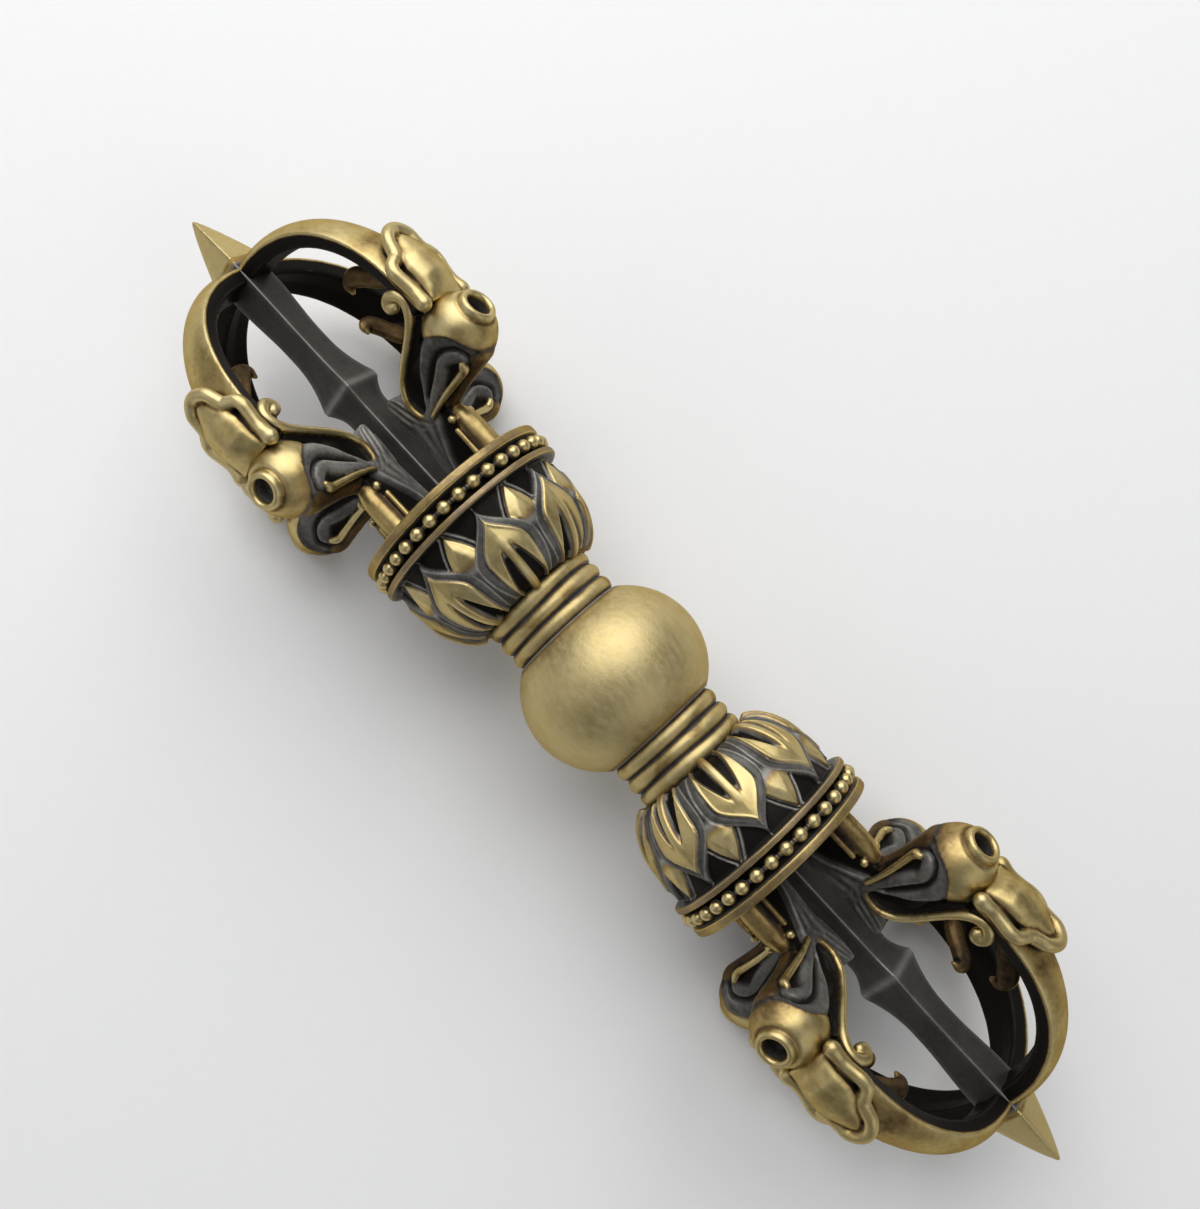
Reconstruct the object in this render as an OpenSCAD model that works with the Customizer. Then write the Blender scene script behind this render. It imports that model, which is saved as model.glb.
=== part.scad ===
// Double-ended five-pronged vajra in cast brass, lying along X with its globe at the origin.
// Every length is in millimetres. Each end is drawn once, pointing to +X, and mirrored for the left.

/* [Globe and stud] */
// Radius of the globe at its middle
globe_r = 13.6; // [12:0.1:15]
// Radius of the globe's flat ends, where the collars seat
globe_end_r = 8.6; // [7.5:0.1:9.5]
// Distance from the globe's middle to each flat end
globe_flat = 9.3; // [8:0.1:11]
// Radius of the tie stud
stud_r = 4; // [3:0.1:5]
// Length of stud that each bowl screws onto
stud_engagement = 10.8; // [8:0.1:12]
// Radial clearance of the stud in the globe
stud_fit = 0.02; // [0.01:0.01:0.05]
// Radial running clearance of the stud in collars and bowls
thread_clearance = 0.05; // [0.02:0.01:0.1]

/* [Ring collar] */
// Length of the collar between globe and bowl
collar_len = 6.9; // [5:0.1:9]
// Radius over the collar's ridges
collar_r = 8.7; // [7.5:0.1:10]
// Depth of the grooves between the ridges
groove_depth = 0.9; // [0.4:0.1:1.4]
// Number of ridges
ridge_count = 3; // [2:1:4]

/* [Lotus bowl] */
// Length of the bowl from collar to rim
bowl_len = 12.3; // [11.5:0.1:15]
// Radius of the bowl at the collar
bowl_base_r = 8.4; // [7:0.1:10]
// Radius of the bowl at the rim, between the petals
bowl_r = 13.9; // [12.5:0.1:14.5]
// Number of large petals
petal_count = 8; // [6:1:10]
// Half-width of a large petal
petal_half_w = 4.7; // [3.5:0.1:5]
// Height of the large petals above the bowl
petal_raise = 0.7; // [0.4:0.1:1]
// Half-width of a small petal
leaf_half_w = 2.6; // [1.5:0.1:3]
// Height of the small petals above the bowl
leaf_raise = 0.35; // [0.2:0.05:0.6]

/* [Rim and beads] */
// Outer radius of the rim's band and lip
rim_r = 15.3; // [15:0.1:17]
// Width of the lower band
band_w = 1.3; // [0.8:0.1:2]
// Width of the lip
lip_w = 1.9; // [1.2:0.1:3]
// Wall of the lip
lip_wall = 1.5; // [1:0.1:2]
// Chamfer on the rim's outer edges
rim_chamfer = 0.3; // [0.1:0.05:0.5]
// Wall of the rim behind the bead channel
channel_wall = 0.9; // [0.6:0.1:1.5]
// Number of beads in the channel
bead_count = 36; // [24:1:40]
// Diameter of a bead
bead_d = 1.75; // [1.4:0.05:2.2]
// How far the beads stand proud of the band
bead_proud = 0.2; // [0:0.05:0.5]
// Radius of the wire that joins the beads
bead_wire_r = 0.45; // [0.3:0.05:0.6]
// Clearance of the beads in their channel
bead_clearance = 0.08; // [0.05:0.01:0.15]

/* [Seat disc] */
// Thickness of the disc that carries the prongs
seat_thick = 3.4; // [2.5:0.1:4]
// Radial clearance of the disc in the rim
seat_clearance = 0.08; // [0.04:0.01:0.2]
// Radius of the round tenons under the heads
peg_r = 1.3; // [1:0.1:1.6]
// Radius of the round tenon under the central prong
root_r = 2; // [1.5:0.1:2.4]
// Radial clearance of every tenon
tenon_fit = 0.03; // [0.01:0.01:0.06]

/* [Central prong] */
// Half-diagonal of the square shaft at its foot
shaft_d = 3.3; // [2.8:0.1:3.8]
// Half-diagonal of the knop
knop_d = 4.7; // [4:0.1:5.5]
// Height of the knop above the seat disc
knop_s = 22.3; // [20:0.1:26]
// Half-diagonal of the shaft above the knop
waist_d = 3.1; // [2.6:0.1:3.4]
// Half-diagonal where the outer prongs meet the shaft
joint_d = 3.6; // [3.2:0.1:4]
// Half-diagonal of the spear tip at its widest
spear_d = 4; // [3.7:0.1:4.6]
// Length of the spear tip
spear_len = 9.5; // [7:0.1:13]

/* [Outer prong] */
// Radius of the arched prong's outer face where it leaves the head
prong_r = 22.6; // [21.5:0.1:24]
// Straight length between head and arch
prong_straight = 2; // [1:0.1:4]
// Length of the arch along the axis
arch_len = 24; // [20:0.1:28]
// Fullness of the arch: 2 is an ellipse, more is squarer
arch_power = 2.2; // [2:0.05:2.6]
// Half-width of the prong at the head
prong_half_w = 4.3; // [3.5:0.1:4.8]
// Half-width of the prong at the central shaft
prong_end_half_w = 2.45; // [1.8:0.05:2.5]
// Thickness of the prong
prong_thick = 3.4; // [2.6:0.1:4]
// Height of the crown across the outer face
prong_crown = 1.2; // [0.6:0.1:1.6]
// Length of the lip plate on the outer face
lip_plate_len = 10.5; // [8:0.1:12]
// Height of the lip plate
lip_plate_raise = 2; // [0.4:0.1:2.6]
// Half-width of the lip plate up to its shoulders
lip_plate_half_w = 5; // [4:0.1:5.6]
// Half-width of the lobe beyond the shoulders
lip_lobe_half_w = 2.6; // [2:0.1:3.2]
// Thickness of the claw-like spur inside the arch
spur_thick = 2.6; // [1.5:0.1:3]
// Length of the spur along the axis
spur_len = 7.4; // [5:0.1:8]
// Distance of the spur's root from the head
spur_setback = 5; // [3:0.1:6]
// Reach of the spur towards the axis
spur_reach = 7; // [4:0.1:8]
// Radius of the round tenon that holds the prong in its head
tenon_r = 1.2; // [0.8:0.1:1.4]
// Length of that tenon
tenon_len = 3; // [2:0.1:4]

/* [Makara head] */
// Length of the head from seat disc to prong
head_len = 20.1; // [19:0.1:22]
// Length of the neck barrel
neck_len = 9.2; // [7:0.1:10]
// Radius of the neck barrel at its middle
neck_r = 2.4; // [1.8:0.1:2.8]
// Radius of the neck barrel at its ends
neck_end_r = 1.9; // [1.5:0.1:2.2]
// Clearance between neck barrel and lip
neck_clearance = 0.2; // [0.1:0.05:0.5]
// Thickness of the cheek
cheek_thick = 6; // [4.5:0.1:7]
// Distance of the cheek's inner edge from the axis
cheek_inner_r = 7.2; // [6.5:0.1:8]
// Length of the cheek's foot beside the central prong
cheek_foot_len = 5.5; // [4:0.1:7]
// Length of the two fronds beside the central prong
frond_len = 16.3; // [14:0.1:17]
// Distance of the fronds' inner edge from the axis
frond_inner_r = 3.9; // [3.6:0.1:4.6]
// Thickness of a frond
frond_thick = 1.2; // [0.8:0.1:1.6]
// Distance of the ball's centre from the axis
ball_axis_r = 21; // [20:0.1:22]
// Distance of the ball's centre below the prong end of the head
ball_setback = 5.2; // [4.8:0.1:7]
// Radius of the ball
ball_r = 5; // [4.5:0.1:5.4]
// Outer radius of the socket ring
socket_ring_r = 2.65; // [2.3:0.05:3]
// Radius of the socket
socket_r = 1.6; // [1.4:0.05:2]
// Depth of the socket
socket_depth = 2.6; // [1.5:0.1:3.5]
// How far the socket ring stands out beyond the ball
socket_proud = 0.1; // [0:0.05:0.6]

/* [Hidden] */

brass = "#a98d4e";
dark_brass = "#6f5c33";
black_patina = "#2e2c2a";

// Turn about X that brings a piece drawn above the axis to each of the four places
TOP_FRONT_ANGLE = 45;
TOP_BACK_ANGLE = -45;
LOW_FRONT_ANGLE = 135;
LOW_BACK_ANGLE = -135;

// Where each piece starts along X
collar_x = globe_flat;
bowl_x = collar_x + collar_len;
rim_x = bowl_x + bowl_len;
seat_x = rim_x + seat_thick;
head_end_x = seat_x + head_len;
arch_x = head_end_x + prong_straight;
joint_x = arch_x + arch_len;

// Rim and what fits in it
channel_w = bead_d + 2 * bead_clearance;
rim_len = band_w + channel_w + lip_w;
bead_row_r = rim_r + bead_proud - bead_d / 2;
bead_x = rim_x + band_w + channel_w / 2;
channel_floor_r = bead_row_r - bead_d / 2 - bead_clearance;
rim_bore_r = channel_floor_r - channel_wall;
seat_r = rim_bore_r - seat_clearance;
lip_inner_r = rim_r - lip_wall;

// Head and prong seats
neck_axis_r = lip_inner_r - neck_clearance - neck_r;
peg_axis_r = neck_axis_r - neck_r / 4;
ball_x = head_end_x - ball_setback;
tenon_axis_r = prong_r - prong_crown / 2 - prong_thick / 2;
joint_face = joint_d / sqrt(2);

// Smoothness of turned pieces, profiles and the arch
round_steps = 96;
profile_steps = 16;
arch_steps = 12;
bead_steps = 24;

// A piece turned about X from a profile of [radius, distance along X]
module turned(profile) {
    rotate([0, 90, 0])
        rotate_extrude($fn = round_steps)
            polygon(profile);
}

// A round bar along X from x0 to x1, at the given distance above the axis
module bar_x(x0, x1, above, radius) {
    translate([x0, 0, above])
        rotate([0, 90, 0])
            cylinder(h = x1 - x0, r = radius, $fn = round_steps);
}

// A solid skinned over rings that all have the same number of points
module loft(rings) {
    count = len(rings);
    sides = len(rings[0]);
    points = [for (ring = rings) each ring];
    start_cap = [[for (i = [sides - 1 : -1 : 0]) i]];
    end_cap = [[for (i = [0 : sides - 1]) (count - 1) * sides + i]];
    walls = [
        for (j = [0 : count - 2], i = [0 : sides - 1])
            let (
                k = (i + 1) % sides,
                a = j * sides + i,
                b = j * sides + k,
                c = (j + 1) * sides + k,
                d = (j + 1) * sides + i
            )
            each [[a, c, d], [a, b, c]]
    ];
    polyhedron(points = points, faces = concat(start_cap, walls, end_cap), convexity = 6);
}

// An end piece goes to the right as drawn, and to the left mirrored
module on_right() {
    children();
}

module on_left() {
    mirror([1, 0, 0])
        children();
}

// Globe: an arc through its middle radius and its two flat ends, turned about X
globe_drop = globe_r - globe_end_r;
globe_arc_r = (globe_flat * globe_flat + globe_drop * globe_drop) / (2 * globe_drop);
globe_arc = [
    for (i = [-profile_steps : profile_steps])
        let (x = globe_flat * i / profile_steps)
        [globe_r - globe_arc_r + sqrt(globe_arc_r * globe_arc_r - x * x), x]
];

module hub_globe() {
    bore_r = stud_r + stud_fit;
    color(brass)
        turned(concat([[bore_r, -globe_flat]], globe_arc, [[bore_r, globe_flat]]));
}

module tie_stud() {
    half_len = bowl_x + stud_engagement;
    color(dark_brass)
        bar_x(-half_len, half_len, 0, stud_r);
}

// Collar with rounded ridges
module ring_collar() {
    bore_r = stud_r + thread_clearance;
    steps = ridge_count * profile_steps;
    ridge_roundness = 0.6;
    ridges = [
        for (i = [0 : steps])
            let (wave = pow(abs(sin(180 * ridge_count * i / steps)), ridge_roundness))
            [collar_r - groove_depth * (1 - wave), collar_x + collar_len * i / steps]
    ];
    color(brass)
        turned(concat([[bore_r, collar_x]], ridges, [[bore_r, bowl_x]]));
}

// The bowl's outer curve, a quarter ellipse, raised by a given height
function bowl_curve(raise) = [
    for (i = [0 : profile_steps])
        let (k = i / profile_steps)
        [bowl_base_r + (bowl_r - bowl_base_r) * sqrt(1 - (1 - k) * (1 - k)) + raise, bowl_x + bowl_len * k]
];

// Half-width of a petal at share k of its length: swelling from its foot, then an ogee to the tip
petal_foot = 0.5;
petal_inset = 0.4;
petal_belly = 0.45;
petal_points = 8;
function petal_share(k) =
    k < petal_belly
        ? petal_foot + (1 - petal_foot) * sin(90 * k / petal_belly)
        : (1 + cos(180 * (k - petal_belly) / (1 - petal_belly))) / 2;

module petal_outline(half_w) {
    foot_x = bowl_x + petal_inset;
    length = bowl_len - 2 * petal_inset;
    side = [
        for (i = [0 : petal_points - 1])
            let (k = i / petal_points)
            [foot_x + length * k, half_w * petal_share(k)]
    ];
    other_side = [for (i = [petal_points - 1 : -1 : 0]) [side[i][0], -side[i][1]]];
    polygon(concat(side, [[foot_x + length, 0]], other_side));
}

// One row of petals standing the given height above the bowl
module petal_row(half_w, raise, turn) {
    sunk = 0.5;
    inner = bowl_curve(-sunk);
    outer = bowl_curve(raise);
    intersection() {
        turned(concat(outer, [for (i = [profile_steps : -1 : 0]) inner[i]]));
        for (i = [0 : petal_count - 1])
            rotate([turn + 360 * i / petal_count, 0, 0])
                linear_extrude(height = rim_r)
                    petal_outline(half_w);
    }
}

module lotus_bowl() {
    bore_r = stud_r + thread_clearance;
    color(dark_brass)
        union() {
            turned(concat([[bore_r, bowl_x]], bowl_curve(0), [[bore_r, rim_x]]));
            petal_row(petal_half_w, petal_raise, 0);
            petal_row(leaf_half_w, leaf_raise, 180 / petal_count);
        }
}

// Rim with its bead channel, a bore for the seat disc and a thin lip above it
module pearl_rim() {
    band_end = rim_x + band_w;
    lip_start = band_end + channel_w;
    rim_end = rim_x + rim_len;
    color(dark_brass)
        turned([
            [rim_bore_r, rim_x],
            [rim_r - rim_chamfer, rim_x],
            [rim_r, rim_x + rim_chamfer],
            [rim_r, band_end - rim_chamfer],
            [rim_r - rim_chamfer, band_end],
            [channel_floor_r, band_end],
            [channel_floor_r, lip_start],
            [rim_r - rim_chamfer, lip_start],
            [rim_r, lip_start + rim_chamfer],
            [rim_r, rim_end - rim_chamfer],
            [rim_r - rim_chamfer, rim_end],
            [lip_inner_r, rim_end],
            [lip_inner_r, seat_x],
            [rim_bore_r, seat_x]
        ]);
}

module bead_wire() {
    color(brass)
        union() {
            rotate([0, 90, 0])
                translate([0, 0, bead_x])
                    rotate_extrude($fn = round_steps)
                        translate([bead_row_r, 0])
                            circle(r = bead_wire_r, $fn = bead_steps);
            for (i = [0 : bead_count - 1])
                rotate([360 * i / bead_count, 0, 0])
                    translate([bead_x, 0, bead_row_r])
                        sphere(d = bead_d, $fn = bead_steps);
        }
}

module seat_disc() {
    cut = 1;
    color(black_patina)
        difference() {
            bar_x(rim_x, seat_x, 0, seat_r);
            bar_x(rim_x - cut, seat_x + cut, 0, root_r + tenon_fit);
            for (turn = [TOP_FRONT_ANGLE, TOP_BACK_ANGLE, LOW_FRONT_ANGLE, LOW_BACK_ANGLE])
                rotate([turn, 0, 0])
                    bar_x(rim_x - cut, seat_x + cut, peg_axis_r, peg_r + tenon_fit);
        }
}

// A square section across X, one corner up, with the given half-diagonal
function square_ring(x, d) = [[x, 0, d], [x, d, 0], [x, 0, -d], [x, -d, 0]];

// Central prong: foot, concave flare to the knop, waist, joint with the outer prongs, spear tip
module central_prong() {
    knop_x = seat_x + knop_s;
    knop_half = 0.4;
    flare_len = 3;
    flare_steps = 4;
    below_knop = [
        for (i = [0 : flare_steps])
            let (k = i / flare_steps)
            [knop_x - knop_half - flare_len * (1 - k), shaft_d + (knop_d - shaft_d) * k * k]
    ];
    waist_flare_ratio = 2.6;
    above_len = waist_flare_ratio * flare_len;
    above_knop = [
        for (i = [0 : flare_steps])
            let (k = 1 - i / flare_steps)
            [knop_x + knop_half + above_len * (1 - k), waist_d + (knop_d - waist_d) * k * k]
    ];
    joint_margin = 1;
    joint_len = prong_thick + joint_margin;
    tip_d = 0.25;
    spear_steps = 5;
    spear_shoulder = 0.5;
    spear_fullness = 0.9;
    spear = [
        for (i = [0 : spear_steps])
            let (k = i / spear_steps)
            [
                joint_x + spear_shoulder + (spear_len - spear_shoulder) * k,
                spear_d * pow(1 - k, spear_fullness) + tip_d * k
            ]
    ];
    stations = concat(
        [[seat_x, shaft_d]],
        below_knop,
        above_knop,
        [[joint_x - joint_len, joint_d], [joint_x, joint_d]],
        spear
    );
    color(black_patina)
        union() {
            loft([for (p = stations) square_ring(p[0], p[1])]);
            bar_x(rim_x, seat_x + root_r, 0, root_r);
        }
}

// Outer prong. Place on the arch's outer face at angle a: 0 where the arch begins, 90 on the axis
function arch_point(a) = [
    arch_x + arch_len * pow(sin(a), 2 / arch_power),
    prong_r * pow(cos(a), 2 / arch_power)
];

// Section of the prong in its own plane: p on the outer face, n outwards, edges lower by the crown
inner_share = 0.8;
function prong_ring(p, n, half_w, crown, thick) =
    let (edge = p - n * crown, inner = p - n * thick)
    [
        [p[0], 0, p[1]],
        [edge[0], half_w, edge[1]],
        [inner[0], half_w * inner_share, inner[1]],
        [inner[0], -half_w * inner_share, inner[1]],
        [edge[0], -half_w, edge[1]]
    ];

// The arch's width, its outward direction, and the angle of its last section before the joint
last_angle = 82;
outwards = [0, 1];
function arch_width(a) = prong_half_w + (prong_end_half_w - prong_half_w) * a / 90;
function arch_normal(a) =
    let (step = 1, t = arch_point(a + step) - arch_point(a - step), n = [-t[1], t[0]])
    n / norm(n);
function arch_ring(a) = prong_ring(arch_point(a), arch_normal(a), arch_width(a), prong_crown, prong_thick);

module arched_strap() {
    tipwards = [1, 0];
    loft(concat(
        [prong_ring([head_end_x, prong_r], outwards, prong_half_w, prong_crown, prong_thick)],
        [prong_ring([arch_x, prong_r], outwards, prong_half_w, prong_crown, prong_thick)],
        [for (i = [1 : arch_steps]) arch_ring(last_angle * i / arch_steps)],
        [prong_ring([joint_x, joint_face], tipwards, prong_end_half_w, prong_crown, prong_thick)]
    ));
}

// Raised plate on the outer face: square shoulders part-way up the arch, then a rounded lobe
plate_shoulder = 0.42;
plate_neck = 0.5;
plate_shares = [0.2, plate_shoulder, plate_neck, 0.65, 0.8, 0.92, 1];
lobe_end_share = 0.3;
function plate_half_w(k) =
    k <= plate_shoulder
        ? lip_plate_half_w
        : let (beyond = max(0, (k - plate_neck) / (1 - plate_neck)))
          lip_lobe_half_w * (lobe_end_share + (1 - lobe_end_share) * sqrt(1 - beyond * beyond));
module lip_plate() {
    curved_len = lip_plate_len - prong_straight;
    plate_angle = asin(pow(curved_len / arch_len, arch_power / 2));
    thick = prong_crown + lip_plate_raise + prong_thick / 2;
    start_place = [head_end_x, prong_r + lip_plate_raise];
    start = prong_ring(start_place, outwards, lip_plate_half_w, prong_crown, thick);
    curved = [
        for (k = plate_shares)
            let (a = plate_angle * k, n = arch_normal(a))
            prong_ring(arch_point(a) + n * lip_plate_raise, n, plate_half_w(k), prong_crown, thick)
    ];
    loft(concat([start], curved));
}

// Claw-like spur under the arch, hooking back towards the head
module spur() {
    x = head_end_x + spur_setback;
    root = prong_r - prong_thick;
    sunk = 1;
    // From the root round the hook's back to its tip and up its hollow side, as shares of length and reach
    outline = [
        [0.72, 0.03], [0.79, 0.28], [0.97, 0.47], [1, 0.71], [0.94, 0.92], [0.8, 1],
        [0.66, 0.95], [0.6, 0.72], [0.47, 0.54], [0.21, 0.38], [0.03, 0.23]
    ];
    rotate([90, 0, 0])
        linear_extrude(height = spur_thick, center = true)
            polygon(concat(
                [[x, root + sunk]],
                [for (p = outline) [x + p[0] * spur_len, root - p[1] * spur_reach]]
            ));
}

module outer_prong() {
    color(brass)
        union() {
            arched_strap();
            lip_plate();
            spur();
            bar_x(head_end_x - tenon_len, head_end_x + tenon_r, tenon_axis_r, tenon_r);
        }
}

// Two pointed fronds that run from the seat disc up beside the central prong, one on each flank of the head
module fronds() {
    frond_tip_x = seat_x + frond_len;
    frond_tip_r = (frond_inner_r + cheek_inner_r) / 2;
    fork_x = seat_x + neck_len;
    fork_r = neck_axis_r - frond_thick;
    outline = [
        [seat_x, frond_inner_r],
        [fork_x, frond_inner_r],
        [frond_tip_x, frond_tip_r],
        [(fork_x + frond_tip_x) / 2, cheek_inner_r],
        [fork_x, fork_r],
        [(seat_x + fork_x) / 2, (cheek_inner_r + fork_r) / 2],
        [seat_x, cheek_inner_r]
    ];
    for (flank = [-1, 1])
        translate([0, flank * (cheek_thick / 2 - frond_thick), 0])
            rotate([90, 0, 0])
                linear_extrude(height = frond_thick, center = true)
                    polygon(outline);
}

// Makara head: neck barrel, cheek, fronds, ball and ringed socket
module makara_head() {
    neck = [
        for (i = [0 : profile_steps])
            let (k = i / profile_steps)
            [neck_end_r + (neck_r - neck_end_r) * sin(180 * k), seat_x + neck_len * k]
    ];
    socket_top = ball_axis_r + ball_r + socket_proud;
    mouth_low = prong_r - prong_thick;
    // The cheek's inner edge swings from its foot beside the central prong out to the mouth
    foot_x = seat_x + neck_len - cheek_foot_len / 2;
    throat_x = foot_x + cheek_foot_len;
    throat_steps = 4;
    throat = [
        for (i = [0 : throat_steps])
            let (k = i / throat_steps)
            [
                throat_x + (head_end_x - throat_x) * sin(90 * k),
                cheek_inner_r + (mouth_low - cheek_inner_r) * (1 - cos(90 * k))
            ]
    ];
    cheek = concat(
        [[foot_x, cheek_inner_r]],
        throat,
        [
            [head_end_x, prong_r],
            [ball_x, ball_axis_r + ball_r / 2],
            [ball_x - ball_r, ball_axis_r],
            [seat_x + neck_len, neck_axis_r + neck_end_r],
            [foot_x, neck_axis_r]
        ]
    );
    color(dark_brass)
        difference() {
            union() {
                translate([0, 0, neck_axis_r])
                    turned(concat([[0, seat_x]], neck, [[0, seat_x + neck_len]]));
                rotate([90, 0, 0])
                    linear_extrude(height = cheek_thick, center = true)
                        polygon(cheek);
                fronds();
                translate([ball_x, 0, ball_axis_r])
                    sphere(r = ball_r, $fn = round_steps);
                translate([ball_x, 0, ball_axis_r])
                    cylinder(h = socket_top - ball_axis_r, r = socket_ring_r, $fn = round_steps);
                bar_x(rim_x, seat_x + peg_r, peg_axis_r, peg_r);
            }
            translate([ball_x, 0, socket_top - socket_depth])
                cylinder(h = 2 * socket_depth, r = socket_r, $fn = round_steps);
            bar_x(head_end_x - tenon_len, head_end_x + tenon_len, tenon_axis_r, tenon_r + tenon_fit);
        }
}

// A piece drawn above the axis, turned to one of its four places
module at(turn) {
    rotate([turn, 0, 0])
        children();
}

module left_ring_collar() { on_left() ring_collar(); }
module left_lotus_bowl() { on_left() lotus_bowl(); }
module left_pearl_rim() { on_left() pearl_rim(); }
module left_bead_wire() { on_left() bead_wire(); }
module left_seat_disc() { on_left() seat_disc(); }
module left_central_prong() { on_left() central_prong(); }
module left_head_top_front() { on_left() at(TOP_FRONT_ANGLE) makara_head(); }
module left_head_top_back() { on_left() at(TOP_BACK_ANGLE) makara_head(); }
module left_head_low_front() { on_left() at(LOW_FRONT_ANGLE) makara_head(); }
module left_head_low_back() { on_left() at(LOW_BACK_ANGLE) makara_head(); }
module left_prong_top_front() { on_left() at(TOP_FRONT_ANGLE) outer_prong(); }
module left_prong_top_back() { on_left() at(TOP_BACK_ANGLE) outer_prong(); }
module left_prong_low_front() { on_left() at(LOW_FRONT_ANGLE) outer_prong(); }
module left_prong_low_back() { on_left() at(LOW_BACK_ANGLE) outer_prong(); }

module right_ring_collar() { on_right() ring_collar(); }
module right_lotus_bowl() { on_right() lotus_bowl(); }
module right_pearl_rim() { on_right() pearl_rim(); }
module right_bead_wire() { on_right() bead_wire(); }
module right_seat_disc() { on_right() seat_disc(); }
module right_central_prong() { on_right() central_prong(); }
module right_head_top_front() { on_right() at(TOP_FRONT_ANGLE) makara_head(); }
module right_head_top_back() { on_right() at(TOP_BACK_ANGLE) makara_head(); }
module right_head_low_front() { on_right() at(LOW_FRONT_ANGLE) makara_head(); }
module right_head_low_back() { on_right() at(LOW_BACK_ANGLE) makara_head(); }
module right_prong_top_front() { on_right() at(TOP_FRONT_ANGLE) outer_prong(); }
module right_prong_top_back() { on_right() at(TOP_BACK_ANGLE) outer_prong(); }
module right_prong_low_front() { on_right() at(LOW_FRONT_ANGLE) outer_prong(); }
module right_prong_low_back() { on_right() at(LOW_BACK_ANGLE) outer_prong(); }

hub_globe();
tie_stud();
left_ring_collar();
left_lotus_bowl();
left_pearl_rim();
left_bead_wire();
left_seat_disc();
left_central_prong();
left_head_top_front();
left_head_top_back();
left_head_low_front();
left_head_low_back();
left_prong_top_front();
left_prong_top_back();
left_prong_low_front();
left_prong_low_back();
right_ring_collar();
right_lotus_bowl();
right_pearl_rim();
right_bead_wire();
right_seat_disc();
right_central_prong();
right_head_top_front();
right_head_top_back();
right_head_low_front();
right_head_low_back();
right_prong_top_front();
right_prong_top_back();
right_prong_low_front();
right_prong_low_back();
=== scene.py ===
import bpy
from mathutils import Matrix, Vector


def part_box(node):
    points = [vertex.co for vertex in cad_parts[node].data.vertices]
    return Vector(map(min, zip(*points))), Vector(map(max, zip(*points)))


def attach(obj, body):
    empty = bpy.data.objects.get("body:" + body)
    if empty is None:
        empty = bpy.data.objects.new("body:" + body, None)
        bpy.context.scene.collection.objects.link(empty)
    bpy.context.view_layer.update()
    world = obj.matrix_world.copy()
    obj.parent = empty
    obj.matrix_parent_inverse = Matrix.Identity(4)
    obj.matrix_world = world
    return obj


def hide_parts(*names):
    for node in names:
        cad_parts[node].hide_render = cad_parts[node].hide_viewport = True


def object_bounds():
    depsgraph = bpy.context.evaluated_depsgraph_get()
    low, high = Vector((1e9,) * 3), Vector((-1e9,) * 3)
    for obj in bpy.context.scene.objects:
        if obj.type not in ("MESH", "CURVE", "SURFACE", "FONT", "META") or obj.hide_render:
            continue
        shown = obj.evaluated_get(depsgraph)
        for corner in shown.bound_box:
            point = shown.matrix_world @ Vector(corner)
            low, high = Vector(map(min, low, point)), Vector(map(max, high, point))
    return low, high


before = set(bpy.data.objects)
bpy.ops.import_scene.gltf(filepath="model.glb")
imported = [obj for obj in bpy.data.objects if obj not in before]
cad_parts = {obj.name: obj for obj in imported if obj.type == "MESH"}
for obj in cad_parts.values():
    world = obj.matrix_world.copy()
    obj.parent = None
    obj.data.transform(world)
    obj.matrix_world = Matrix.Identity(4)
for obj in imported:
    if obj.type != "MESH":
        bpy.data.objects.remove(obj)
cad_box = [list(corner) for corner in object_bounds()]

import math

import bpy
import numpy as np
from bpy.props import FloatProperty, FloatVectorProperty, IntProperty, PointerProperty
from mathutils import Matrix, Vector
from mathutils.bvhtree import BVHTree

bl_info = {
    "name": "Double-ended vajra",
    "version": (1, 0, 0),
    "blender": (4, 5, 0),
    "location": "3D View > Sidebar > Vajra",
    "description": "Cast brass vajra with lotus bowls, makara heads and five prongs at each end",
    "category": "Object",
}

# Shapes are written in millimetres, pointing to +X and standing above the axis, as in the part's source.
MM = 0.001
SIDES = {"left": -1, "right": 1}
PLACES = {"top_front": 45, "top_back": -45, "low_front": 135, "low_back": -135}
# Share of polish kept on each end's heads and prongs, lower on the right end as painted shade
PAINTED_SHADE_POLISH = {"left": 1.0, "right": 0.88}
# Share of worn grey kept on the head and prong painted as lit, as a painted grey sheen, and on the others,
# painted as shaded
LIT_PLACE_GREY, SHADED_PLACE_GREY = {("left", "top_front"): 1.0}, 0.5

# Distances along the axis where one piece meets the next
GLOBE_FLAT, BOWL_X, RIM_X, SEAT_X = 9.3, 16.2, 28.5, 31.9
MOUTH_X, ARCH_X, JOINT_X, TIP_X = 52.0, 54.0, 78.0, 87.5


# Shapes as arrays

def smooth_step(low, high, value):
    share = np.clip((np.asarray(value, float) - low) / (high - low), 0, 1)
    return share * share * (3 - 2 * share)


def mound(value, middle, width):
    """A smooth rise to 1 at the middle."""
    return np.exp(-((value - middle) / width) ** 2)


def coordinates(x, y, z):
    """Points from arrays of their coordinates."""
    return np.stack(np.broadcast_arrays(x, y, z), axis=-1)


def smooth_path(points, steps=8):
    """A curve through the points."""
    p = np.array(points, float)
    p = np.vstack([2 * p[0] - p[1], p, 2 * p[-1] - p[-2]])
    k = np.linspace(0, 1, steps, endpoint=False)[:, None]
    spans = []
    for a, b, c, d in zip(p, p[1:], p[2:], p[3:]):
        spans.append(0.5 * (2 * b + (c - a) * k + (2 * a - 5 * b + 4 * c - d) * k ** 2
                            + (3 * b - a - 3 * c + d) * k ** 3))
    return np.vstack(spans + [p[-2:-1]])


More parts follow.
